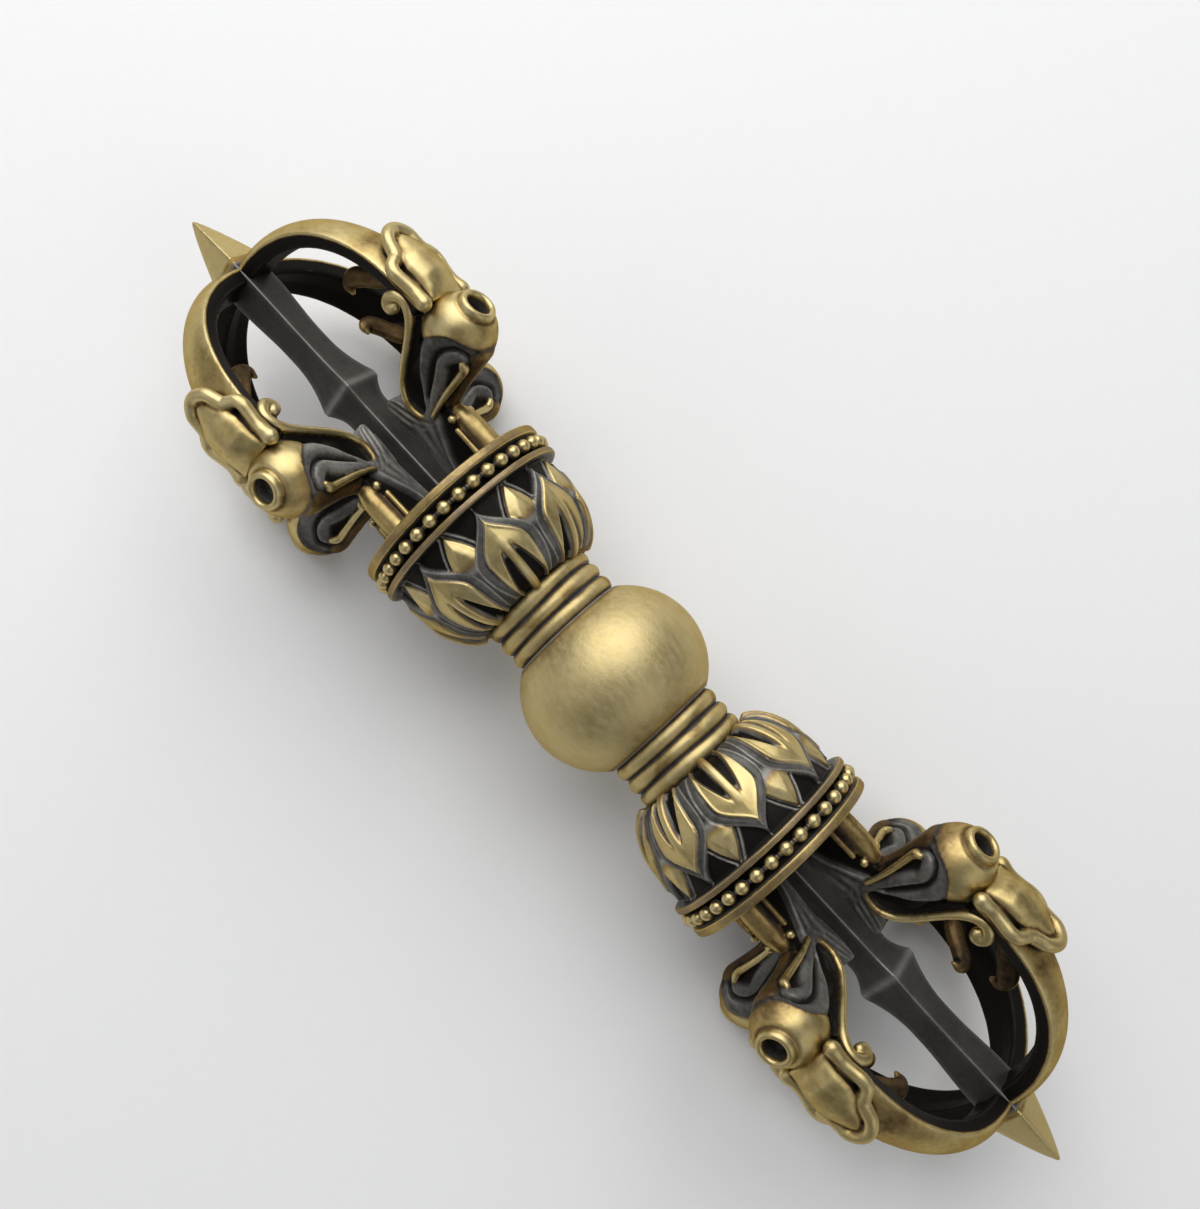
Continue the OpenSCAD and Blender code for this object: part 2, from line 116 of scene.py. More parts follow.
def grid_faces(rows, columns, wrap=True):
    """Quads between rows of points, each row closed on itself where wrap is true."""
    reach = columns if wrap else columns - 1
    j, i = np.meshgrid(np.arange(rows - 1), np.arange(reach), indexing="ij")
    k = (i + 1) % columns
    low, high = j * columns, (j + 1) * columns
    quads = np.stack([low + i, low + k, high + k, high + i], axis=-1)
    return [tuple(q) for q in quads.reshape(-1, 4).tolist()]


def looped_faces(rows, columns, wrap=True):
    """The same quads, with the last row joined to the first."""
    return [tuple(i % (rows * columns) for i in face) for face in grid_faces(rows + 1, columns, wrap)]


def loft(rings):
    """A closed skin over rings of equal length that run anticlockwise about the way they advance."""
    rings = np.asarray(rings, float)
    count, sides = rings.shape[:2]
    faces = grid_faces(count, sides)
    faces.append(tuple(range(sides - 1, -1, -1)))
    faces.append(tuple((count - 1) * sides + i for i in range(sides)))
    return rings.reshape(-1, 3), faces


def circle(steps):
    """Cosines and sines of equal steps round a circle."""
    angle = np.linspace(0, 2 * math.pi, steps, endpoint=False)
    return np.cos(angle), np.sin(angle)


def turned(profile, steps):
    """A closed profile of (distance along X, radius) turned about X."""
    x, radius = np.asarray(profile, float).T[:, :, None]
    cosine, sine = circle(steps)
    points = coordinates(x, -radius * sine, radius * cosine)
    return points.reshape(-1, 3), looped_faces(len(profile), steps)


def turned_upright(profile, centre, steps):
    """An open profile of (radius, height), from pole to pole, turned about an upright axis."""
    radius, height = np.asarray(profile, float).T[:, :, None]
    cosine, sine = circle(steps)
    return loft(coordinates(radius * cosine, radius * sine, height) + np.asarray(centre, float))


def tube(path, radius, sides=14):
    """A round bar with rounded ends along a path; radius is a number or one number a point."""
    path = np.asarray(path, float)
    radius = np.broadcast_to(np.asarray(radius, float), len(path))
    along = np.gradient(path, axis=0)
    along /= np.linalg.norm(along, axis=1)[:, None]
    bends = [(math.sin(math.radians(turn)), math.cos(math.radians(turn))) for turn in (80, 55, 28)]
    first = [(path[0] - along[0] * radius[0] * far, radius[0] * wide, along[0]) for far, wide in bends]
    last = [(path[-1] + along[-1] * radius[-1] * far, radius[-1] * wide, along[-1])
            for far, wide in reversed(bends)]
    side = np.cross(along[0], (0.3, 0.5, 0.81))
    cosine, sine = circle(sides)
    rings = []
    for place, size, way in [*first, *zip(path, radius, along), *last]:
        side = side - way * side.dot(way)
        side /= np.linalg.norm(side)
        rings.append(place + size * (np.outer(cosine, side) + np.outer(sine, np.cross(way, side))))
    return loft(rings)


def ellipsoid(centre, radii):
    pole, rings, sides = math.pi / 2 - 0.08, 16, 24
    angle = np.linspace(-pole, pole, rings)
    points, faces = turned_upright(np.column_stack([np.cos(angle), np.sin(angle)]), (0, 0, 0), sides)
    return points * radii + centre, faces


def joined(forms):
    points, faces, start = [], [], 0
    for form_points, form_faces in forms:
        points.append(np.asarray(form_points, float))
        faces += [tuple(i + start for i in face) for face in form_faces]
        start += len(form_points)
    return np.vstack(points), faces


def both_flanks(form):
    """The form and its mirror image across the upright middle plane."""
    points, faces = form
    mirrored = np.asarray(points, float) * (1, -1, 1)
    return joined([form, (mirrored, [face[::-1] for face in faces])])


# Meshes and objects

def linked(name, data):
    """A new object in the scene."""
    obj = bpy.data.objects.new(name, data)
    bpy.context.scene.collection.objects.link(obj)
    return obj


def bare_mesh(name, points, faces):
    mesh = bpy.data.meshes.new(name)
    mesh.from_pydata(np.asarray(points, float).tolist(), [], faces)
    mesh.update()
    return mesh


# Up to this level a finish is patina worn to grey, and above it a polish
GREY_TONE = 0.22


def set_tone(mesh, tone, grey=None):
    """Stores how far each point is polished to bare brass, and how far its black patina has worn to grey."""
    grey = np.asarray(tone) / GREY_TONE if grey is None else grey
    for label, values in (("tone", tone), ("grey", grey)):
        attribute = mesh.attributes.new(label, "FLOAT", "POINT")
        attribute.data.foreach_set("value", np.clip(np.asarray(values, np.float32), 0, 1))


def piece(name, mesh, body, slot, nodes, sharp_angle=None):
    """A finished piece on its body, in place of CAD nodes."""
    mesh.name = name
    mesh.shade_smooth()
    if sharp_angle:
        mesh.set_sharp_from_angle(angle=math.radians(sharp_angle))
    mesh.materials.clear()
    mesh.materials.append(finish(slot))
    obj = linked(name, mesh)
    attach(obj, body)
    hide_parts(*nodes)


def placed(mesh, side, turn=0):
    """A copy in metres of a mesh drawn in millimetres, turned to its place and mirrored for the left end."""
    copy = mesh.copy()
    copy.transform(Matrix.Rotation(math.radians(turn), 4, "X"))
    copy.transform(Matrix.Diagonal((SIDES[side] * MM, MM, MM, 1)))
    if side == "left":
        copy.flip_normals()
    copy.update()
    return copy


def lit_or_shaded(mesh, side, place):
    """The mesh with the painted light and shade of its place: its polish and its grey scaled by the place's
    shares.
    """
    for name, share in (("tone", PAINTED_SHADE_POLISH[side]), ("grey", LIT_PLACE_GREY.get((side, place), SHADED_PLACE_GREY))):
        values = np.empty(len(mesh.vertices), np.float32)
        mesh.attributes[name].data.foreach_get("value", values)
        mesh.attributes[name].data.foreach_set("value", values * share)
    return mesh


def set_round(kind, mesh, node):
    """Copies of a head or a prong in its four places round each end."""
    for side in SIDES:
        for place, turn in PLACES.items():
            # Each copy takes the painted light and shade of its place
            piece(f"{side}_{kind}_{place}", lit_or_shaded(placed(mesh, side, turn), side, place), f"{side}_end",
                  "antique_brass", [f"{side}_{node}_{place}"])


def evaluated_mesh(obj):
    """A plain mesh of the object with its modifiers, which are then removed with the object."""
    graph = bpy.context.evaluated_depsgraph_get()
    mesh = bpy.data.meshes.new_from_object(obj.evaluated_get(graph), depsgraph=graph)
    obj.modifiers.clear()
    source = obj.data
    bpy.data.objects.remove(obj)
    if source.users == 0:
        bpy.data.meshes.remove(source)
    return mesh


def mesh_arrays(mesh):
    """Points, normals and edges of a mesh."""
    points, normals = (np.empty(len(mesh.vertices) * 3) for _ in range(2))
    mesh.vertices.foreach_get("co", points)
    mesh.vertices.foreach_get("normal", normals)
    edges = np.empty(len(mesh.edges) * 2, np.int64)
    mesh.edges.foreach_get("vertices", edges)
    return points.reshape(-1, 3), normals.reshape(-1, 3), edges.reshape(-1, 2)


def relief(points, normals, edges, rounds):
    """How far each point stands above its surroundings: positive on ridges and edges, negative in grooves."""
    first, second = edges.T
    count = np.maximum(np.bincount(edges.ravel(), minlength=len(points)), 1)[:, None]
    smooth = points
    for _ in range(rounds):
        total = np.zeros_like(points)
        np.add.at(total, first, smooth[second])
        np.add.at(total, second, smooth[first])
        smooth = total / count
    return np.sum((points - smooth) * normals, axis=1)


def casting(name, solids, finishes, voxel, relax, browning_and_shade):
    """Fuses solids into one cast skin, toned by the nearest finish, by its relief, and by brown ageing with
    painted shade.
    """
    reach, farthest, rounds = 0.12, 8, 14
    obj = linked(name, bare_mesh(name, *joined(solids)))
    remesh = obj.modifiers.new("fuse", "REMESH")
    remesh.mode = "VOXEL"
    remesh.voxel_size = voxel
    smooth = obj.modifiers.new("relax", "SMOOTH")
    smooth.factor = 0.5
    smooth.iterations = relax
    mesh = evaluated_mesh(obj)
    points, normals, edges = mesh_arrays(mesh)
    weight_sum, tone, grey = np.zeros((3, len(points)))
    for level in sorted({level for _, level in finishes}):
        form_points, form_faces = joined([form for form, t in finishes if t == level])
        tree = BVHTree.FromPolygons(form_points.tolist(), form_faces)
        distance = np.array([tree.find_nearest(Vector(p))[3] for p in points.tolist()])
        weight = np.exp(-np.minimum(distance, farthest) / reach) + 1e-30
        weight_sum += weight
        if level > GREY_TONE:
            tone += weight * level
        else:
            grey += weight * level / GREY_TONE
    tone = tone / weight_sum
    grey = grey / weight_sum
    height = relief(points, normals, edges, rounds)
    worn = np.clip(height, 0, None) * (0.55 + 1.9 * tone)
    sunk = height * (0.9 + 1.5 * smooth_step(0.15, 0.6, tone))
    # Brown ageing and painted shade take the tone down by the given share
    tone = tone * (1 - browning_and_shade(points)) + np.minimum(worn, 0.35) + np.clip(sunk, -0.6, 0)
    set_tone(mesh, tone, grey * (1 + np.clip(4 * height, -0.8, 0.8)))
    return mesh


# Nodes

def plug(tree, node, inputs):
    """Links or sets a node's inputs by name or number; a list links several sockets, None leaves one alone."""
    for label, value in inputs.items():
        for source in value if isinstance(value, list) else [value]:
            if isinstance(source, bpy.types.NodeSocket):
                tree.links.new(source, node.inputs[label])
            elif source is not None:
                node.inputs[label].default_value = source


def add(tree, kind, inputs, output=0, **settings):
    """An output of a new node with its settings made and its inputs plugged."""
    node = tree.nodes.new(kind)
    for label, value in settings.items():
        setattr(node, label, value)
    plug(tree, node, inputs)
    return node.outputs[output]


def maths(tree, operation, first, second=None):
    return add(tree, "ShaderNodeMath", {0: first, 1: second}, operation=operation)


# Geometry Nodes

def node_tree(name, inputs):
    """A Geometry Nodes tree, and the sockets of what it is given: a geometry, named inputs and a material."""
    tree = bpy.data.node_groups.new(name, "GeometryNodeTree")
    tree.is_modifier = True
    for label, kind in (("Geometry", "Geometry"), *inputs, ("Material", "Material")):
        tree.interface.new_socket(label, in_out="INPUT", socket_type="NodeSocket" + kind)
    tree.interface.new_socket("Geometry", in_out="OUTPUT", socket_type="NodeSocketGeometry")
    return tree, tree.nodes.new("NodeGroupInput").outputs


def finish_tree(tree, geometry, material):
    """Every tree ends in Realize Instances and Set Material."""
    real = add(tree, "GeometryNodeRealizeInstances", {"Geometry": geometry})
    painted = add(tree, "GeometryNodeSetMaterial", {"Geometry": real, "Material": material})
    tree.links.new(painted, tree.nodes.new("NodeGroupOutput").inputs[0])
    return tree


def points_to_turn(tree, count):
    """Counted points, and the turn of each about the axis: its index times a full turn over the count."""
    line = add(tree, "GeometryNodeMeshLine", {"Offset": (0, 0, 0), "Count": count})
    index = add(tree, "GeometryNodeInputIndex", {})
    return line, maths(tree, "DIVIDE", maths(tree, "MULTIPLY", index, 2 * math.pi), count)


def swept(tree, curve, sides, radius, start, caps):
    """A bar along a curve that was drawn about Z, turned to X and shifted along it."""
    section = add(tree, "GeometryNodeCurvePrimitiveCircle", {"Resolution": sides, "Radius": radius})
    bar = add(tree, "GeometryNodeCurveToMesh", {"Curve": curve, "Profile Curve": section, "Fill Caps": caps})
    shift = add(tree, "ShaderNodeCombineXYZ", {"X": start})
    return add(tree, "GeometryNodeTransform", {
        "Geometry": bar, "Rotation": (0, math.pi / 2, 0), "Translation": shift})


def sector_ring_tree():
    """Copies one sector round the X axis and welds the copies."""
    tree, given = node_tree("petal_sectors_round_the_bowl", (("Count", "Int"), ("Weld", "Float")))
    line, turn = points_to_turn(tree, given["Count"])
    spin = add(tree, "ShaderNodeCombineXYZ", {"X": turn})
    copies = add(tree, "GeometryNodeInstanceOnPoints", {
        "Points": line, "Instance": given["Geometry"], "Rotation": spin})
    real = add(tree, "GeometryNodeRealizeInstances", {"Geometry": copies})
    weld = add(tree, "GeometryNodeMergeByDistance", {"Geometry": real, "Distance": given["Weld"]})
    return finish_tree(tree, weld, given["Material"])


def bead_row_tree():
    """Beads on a wire round the X axis."""
    labels = ("Row Radius", "Bead Diameter", "Bead Length", "Wire Radius", "Place")
    inputs = [("Count", "Int")] + [(label, "Float") for label in labels]
    tree, given = node_tree("beads_on_their_wire", inputs)
    row, width = given["Row Radius"], given["Bead Diameter"]
    line, turn = points_to_turn(tree, given["Count"])
    place = add(tree, "ShaderNodeCombineXYZ", {
        "X": given["Place"], "Y": maths(tree, "MULTIPLY", maths(tree, "SINE", turn), row),
        "Z": maths(tree, "MULTIPLY", maths(tree, "COSINE", turn), row)})
    spots = add(tree, "GeometryNodeSetPosition", {"Geometry": line, "Position": place})
    bead = add(tree, "GeometryNodeMeshUVSphere", {"Segments": 20, "Rings": 12, "Radius": 0.5})
    scale = add(tree, "ShaderNodeCombineXYZ", {"X": given["Bead Length"], "Y": width, "Z": width})
    copies = add(tree, "GeometryNodeInstanceOnPoints", {"Points": spots, "Instance": bead, "Scale": scale})
    loop = add(tree, "GeometryNodeCurvePrimitiveCircle", {"Resolution": 144, "Radius": row})
    wire = swept(tree, loop, 10, given["Wire Radius"], given["Place"], False)
    both = add(tree, "GeometryNodeJoinGeometry", {"Geometry": [wire, copies]})
    return finish_tree(tree, both, given["Material"])


def thread_tree():
    """A screw ridge wound along X from the middle of the given stud outwards, joined to it."""
    labels = ("Turns", "Pitch", "Radius", "Ridge", "Start")
    tree, given = node_tree("thread_on_the_stud", [(label, "Float") for label in labels])
    spiral = add(tree, "GeometryNodeCurveSpiral", {
        "Resolution": 40, "Rotations": given["Turns"], "Start Radius": given["Radius"],
        "End Radius": given["Radius"], "Height": maths(tree, "MULTIPLY", given["Turns"], given["Pitch"])})
    ridge = swept(tree, spiral, 4, given["Ridge"], given["Start"], True)
    both = add(tree, "GeometryNodeJoinGeometry", {"Geometry": [ridge, given["Geometry"]]})
    return finish_tree(tree, both, given["Material"])


def grown(name, mesh, tree, values):
    """The plain mesh that a tree makes of a mesh, with the tree's inputs set by their identifiers."""
    obj = bpy.data.objects.new(name, mesh)
    modifier = obj.modifiers.new("grow", "NODES")
    modifier.node_group = tree
    for item in tree.interface.items_tree:
        if item.in_out == "INPUT" and item.name in values:
            modifier[item.identifier] = values[item.name]
    bpy.context.scene.collection.objects.link(obj)
    bpy.context.view_layer.update()
    return evaluated_mesh(obj)


# Finishes

def noise(tree, vector, scale, detail, roughness=0.55):
    return add(tree, "ShaderNodeTexNoise", {
        "Vector": vector, "Scale": scale, "Detail": detail, "Roughness": roughness}, "Fac")


def spread(tree, value, from_low, from_high, to_low, to_high):
    return add(tree, "ShaderNodeMapRange", {
        "Value": value, "From Min": from_low, "From Max": from_high, "To Min": to_low, "To Max": to_high,
    }, "Result")


def blend_colours(tree, factor, *ends):
    """A mix of two colours or sockets; the node takes colours on inputs 6 and 7 and gives one on output 2."""
    first, second = (end if isinstance(end, bpy.types.NodeSocket) else (*end, 1) for end in ends)
    return add(tree, "ShaderNodeMix", {0: factor, 6: first, 7: second}, 2, data_type="RGBA")


def bare_material(name):
    """A new material, its node tree and its shader."""
    material = bpy.data.materials.new(name)
    material.use_nodes = True
    shader = next(n for n in material.node_tree.nodes if n.type == "BSDF_PRINCIPLED")
    return material, material.node_tree, shader


def brass_finish(name, colours, roughness, patina_roughness=0.4, fixed_tone=None, grain_along=(1, 1, 1),
                 grain=0.05, patchy=0.06):
    """Brass under a black patina: black in grooves, grey, then brown, then bare brass as the tone rises."""
    material, tree, shader = bare_material(name)
    place = add(tree, "ShaderNodeTexCoord", {}, "Object")
    stretch = add(tree, "ShaderNodeMapping", {"Vector": place, "Scale": grain_along})
    clouds = noise(tree, place, 220, 4)
    specks = noise(tree, place, 1500, 3)
    brushed = noise(tree, stretch, 1100, 3, 0.65)
    patches = maths(tree, "ADD", spread(tree, specks, 0.3, 0.7, -patchy / 2, patchy / 2),
                    spread(tree, clouds, 0.3, 0.7, -patchy, patchy))
    if fixed_tone is None:
        tone, grey = (add(tree, "ShaderNodeAttribute", {}, "Fac", attribute_name=label)
                      for label in ("tone", "grey"))
        fade = spread(tree, tone, 0, 0.6, 0.25, 1)
        polish = maths(tree, "ADD", tone, maths(tree, "MULTIPLY", patches, fade))
        dull = maths(tree, "MULTIPLY", grey, spread(tree, patches, -0.12, 0.12, 0.5, 1.5))
    else:
        polish = dull = maths(tree, "ADD", patches, fixed_tone)
    soot = blend_colours(tree, spread(tree, dull, 0, 1, 0, 1), colours.patina, colours.patina_light)
    # Lower polish browns the brass: aged brass, and painted shade where polish is lowered for shade; its dark
    # red brown also stands in for a painted warm reflection
    bare = blend_colours(tree, spread(tree, polish, 0.45, 0.8, 0, 1), colours.brass_shade, colours.brass)
    # Pale brass along brush lines, and a painted highlight on the most polished ridges
    brush_lines_and_highlight = maths(tree, "MULTIPLY", spread(tree, polish, 0.72, 1.0, 0.15, 1),
                  spread(tree, brushed, 0.3, 0.75, 0.25, 0.75))
    bare = blend_colours(tree, brush_lines_and_highlight, bare, colours.brass_light)
    wear = spread(tree, polish, 0.24, 0.62, 0, 1)
    height = maths(tree, "ADD", brushed, maths(tree, "MULTIPLY", specks, 0.6))
    plug(tree, shader, {
        "Base Color": blend_colours(tree, wear, soot, bare),
        "Roughness": maths(tree, "ADD", spread(tree, brushed, 0.3, 0.7, roughness - 0.07, roughness + 0.07),
                           spread(tree, wear, 0, 1, patina_roughness - roughness, 0)),
        "Metallic": spread(tree, wear, 0, 1, 0.35, 1),
        "Specular IOR Level": spread(tree, dull, 0, 0.7, 0.12, 0.5),
        "Specular Tint": (*colours.edge_tint, 1),
        "Normal": add(tree, "ShaderNodeBump", {"Strength": grain, "Distance": 0.0004, "Height": height}),
    })
    return material


FINISHES = {
    "satin_brass": dict(roughness=0.52, grain_along=(0.35, 1, 1), grain=0.12, patchy=0.12),
    "stud_brass": dict(roughness=0.3, fixed_tone=0.85),
    "bead_brass": dict(roughness=0.36, grain=0.03),
    "black_patina": dict(roughness=0.4, patina_roughness=0.38),
    "antique_brass": dict(roughness=0.41, grain_along=(0.5, 1, 1), patchy=0.11),
}


def finish(slot):
    """The finish for a material slot, made once."""
    name = slot + "_finish"
    if name not in bpy.data.materials:
        brass_finish(name, bpy.context.scene.vajra_colours, **FINISHES[slot])
    return bpy.data.materials[name]


# Sizes and colours

def length(name, description, millimetres):
    return FloatProperty(
        name=name, description=description, default=millimetres * MM, unit="LENGTH", precision=5)


def colour(name, description, value):
    return FloatVectorProperty(
        name=name, description=description, default=value, subtype="COLOR", size=3, min=0, max=1)


GLOBE_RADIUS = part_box("hub_globe")[1].z / MM
RIM_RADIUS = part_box("right_pearl_rim")[1].z / MM


class VajraSizes(bpy.types.PropertyGroup):
    globe_radius: length("Globe radius", "Radius of the globe at its middle", GLOBE_RADIUS)
    rim_radius: length("Rim radius", "Outer radius of the beaded rim", RIM_RADIUS)
    petal_count: IntProperty(name="Petals", description="Large petals round each bowl", default=8)
    petal_height: length("Petal height", "Height of a petal's leaf above the bowl", 0.75)
    border_width: length("Petal border", "Width of the band round each large petal", 1.4)
    bead_count: IntProperty(name="Beads", description="Beads in each rim", default=36)
    bead_diameter: length("Bead diameter", "Diameter of a bead round the rim", 2.0)
    bead_length: length("Bead length", "Length of a bead across its channel", 1.95)
    thread_pitch: length("Thread pitch", "Pitch of the thread that joins the ends to the stud", 1.25)
    rope_radius: length("Head rope", "Radius of the rope along a head's throat", 0.58)
    lip_rope_radius: length("Lip rope", "Radius of the rope that frames a lip plate", 0.95)
    socket_radius: length("Socket radius", "Radius of the socket on a head's ball", 1.57)


class VajraColours(bpy.types.PropertyGroup):
    brass: colour("Brass", "Bare brass", (0.5, 0.38, 0.15))
    # Pale brass on brush lines, also a painted highlight on polished ridges
    brass_light: colour("Brushed brass", "Brass along its brush lines", (0.72, 0.62, 0.36))
    # Aged brass; its dark red brown is also a painted warm reflection on shaded brass
    brass_shade: colour("Aged brass", "Brass where it has browned", (0.21, 0.115, 0.038))
    patina: colour("Patina", "Black patina in the grooves", (0.012, 0.011, 0.01))
    patina_light: colour("Worn patina", "Patina where it has worn to grey", (0.3, 0.29, 0.27))
    edge_tint: colour("Edge tint", "Tint of the metal at grazing angles", (0.6, 0.5, 0.35))
    floor: colour("Floor", "Pale floor under the vajra", (0.94, 0.94, 0.94))


# Globe, stud and collars

def globe_profile(radius):
    """The globe's arc with its flat ends, and its bore, as (distance along X, radius)."""
    end_radius, bore = 8.6, 4.02
    drop = radius - end_radius
    arc_radius = (GLOBE_FLAT ** 2 + drop ** 2) / (2 * drop)
    x = GLOBE_FLAT * np.sin(np.linspace(-math.pi / 2, math.pi / 2, 81))
    arc = np.column_stack([x, radius - arc_radius + np.sqrt(arc_radius ** 2 - x ** 2)])
    inside = np.column_stack([np.linspace(GLOBE_FLAT, -GLOBE_FLAT, 12), np.full(12, bore)])
    return np.vstack([arc, inside])[::-1]


class VAJRA_OT_globe(bpy.types.Operator):
    """Satin globe and the threaded stud through it"""
    bl_idname = "vajra.globe"
    bl_label = "Globe and Stud"

    def execute(self, context):
        sizes = context.scene.vajra_sizes
        points, faces = turned(globe_profile(sizes.globe_radius / MM), 192)
        mesh = bare_mesh("globe", points * MM, faces)
        stain, stain_width, bore_limit = 0.75, 0.9, 5
        near_end = smooth_step(GLOBE_FLAT - stain_width, GLOBE_FLAT, np.abs(points[:, 0]))
        set_tone(mesh, 1 - stain * near_end * (np.hypot(points[:, 1], points[:, 2]) > bore_limit))
        piece("globe", mesh, "hub", "satin_brass", ["hub_globe"], 40)

        half, core, chamfer, ridge, pinhole, sunk = 27.0, 3.55, 0.6, 0.45, 0.05, 0.02
        profile = [(-half, pinhole), (-half, core - chamfer), (chamfer - half, core), (half - chamfer, core),
                   (half, core - chamfer), (half, pinhole)]
        stud = turned(profile[::-1], 64)
        turns = math.floor((2 * half - 2) / (sizes.thread_pitch / MM))
        values = {
            "Turns": float(turns), "Pitch": sizes.thread_pitch, "Radius": (core - sunk) * MM,
            "Ridge": ridge * MM, "Start": -turns * sizes.thread_pitch / 2, "Material": finish("stud_brass"),
        }
        threaded = grown("stud_thread", bare_mesh("stud_core", stud[0] * MM, stud[1]), thread_tree(), values)
        piece("stud", threaded, "hub", "stud_brass", ["tie_stud"], 35)
        return {"FINISHED"}


def collar_profile():
    """Three rounded ridges and the bore, with the tone of each point."""
    radius, groove, ridges, bore = 8.7, 0.7, 3, 4.05
    k = np.linspace(0, 1, 91)
    wave = np.abs(np.sin(math.pi * ridges * k)) ** 0.65
    outside = np.column_stack([GLOBE_FLAT + (BOWL_X - GLOBE_FLAT) * k, radius - groove * (1 - wave)])
    inside = np.column_stack([np.linspace(BOWL_X, GLOBE_FLAT, 8), np.full(8, bore)])
    tones = np.concatenate([0.24 + 0.68 * smooth_step(0.3, 0.85, wave), np.full(8, 0.3)])
    return np.vstack([outside, inside])[::-1], tones[::-1]


class VAJRA_OT_collars(bpy.types.Operator):
    """Ridged collars between globe and bowls"""
    bl_idname = "vajra.collars"
    bl_label = "Ring Collars"

    def execute(self, context):
        profile, tones = collar_profile()
        steps = 160
        points, faces = turned(profile, steps)
        # The ridges wander a little, as filed ones do, and are stained in places
        around = np.arctan2(points[:, 2], points[:, 1])
        along = math.pi * np.clip((points[:, 0] - GLOBE_FLAT) / (BOWL_X - GLOBE_FLAT), 0, 1)
        points[:, 0] += (0.16 * np.sin(2 * around + 0.5) * np.sin(along)
                         + 0.1 * np.sin(3 * around + 2) * np.sin(2 * along))
        stain = np.sin(3 * around + along) * np.sin(5 * around - 2 * along + 1)
        mesh = bare_mesh("collar", points, faces)
        tone = np.repeat(tones, steps) - 0.25 * smooth_step(0.2, 0.9, stain)
        set_tone(mesh, tone, np.full(len(points), 0.3))
        for side in SIDES:
            piece(f"{side}_collar_rings", placed(mesh, side), f"{side}_collar", "satin_brass",
                  [f"{side}_ring_collar"], 50)
        return {"FINISHED"}


# Lotus bowls

def outline_width(share, foot, belly, belly_at, tip_at):
    """Half-width of a petal along its length: swelling from its foot, then an ogee to its tip."""
    rise = foot + (belly - foot) * np.sin(np.clip(share / belly_at, 0, 1) * math.pi / 2)
    fall = belly * (1 + np.cos(np.clip((share - belly_at) / (tip_at - belly_at), 0, 1) * math.pi)) / 2
    return np.where(share < belly_at, rise, fall)


def inside_outline(share, across, run, *outline):
    """Distance inside a petal's outline, measured square to it."""
    width = outline_width(share, *outline)
    slope = np.gradient(width[:, 0], run)[:, None]
    past_tip = np.maximum(share - outline[-1], 0) * run[-1]
    return (width - across) / np.sqrt(1 + slope ** 2) - past_tip


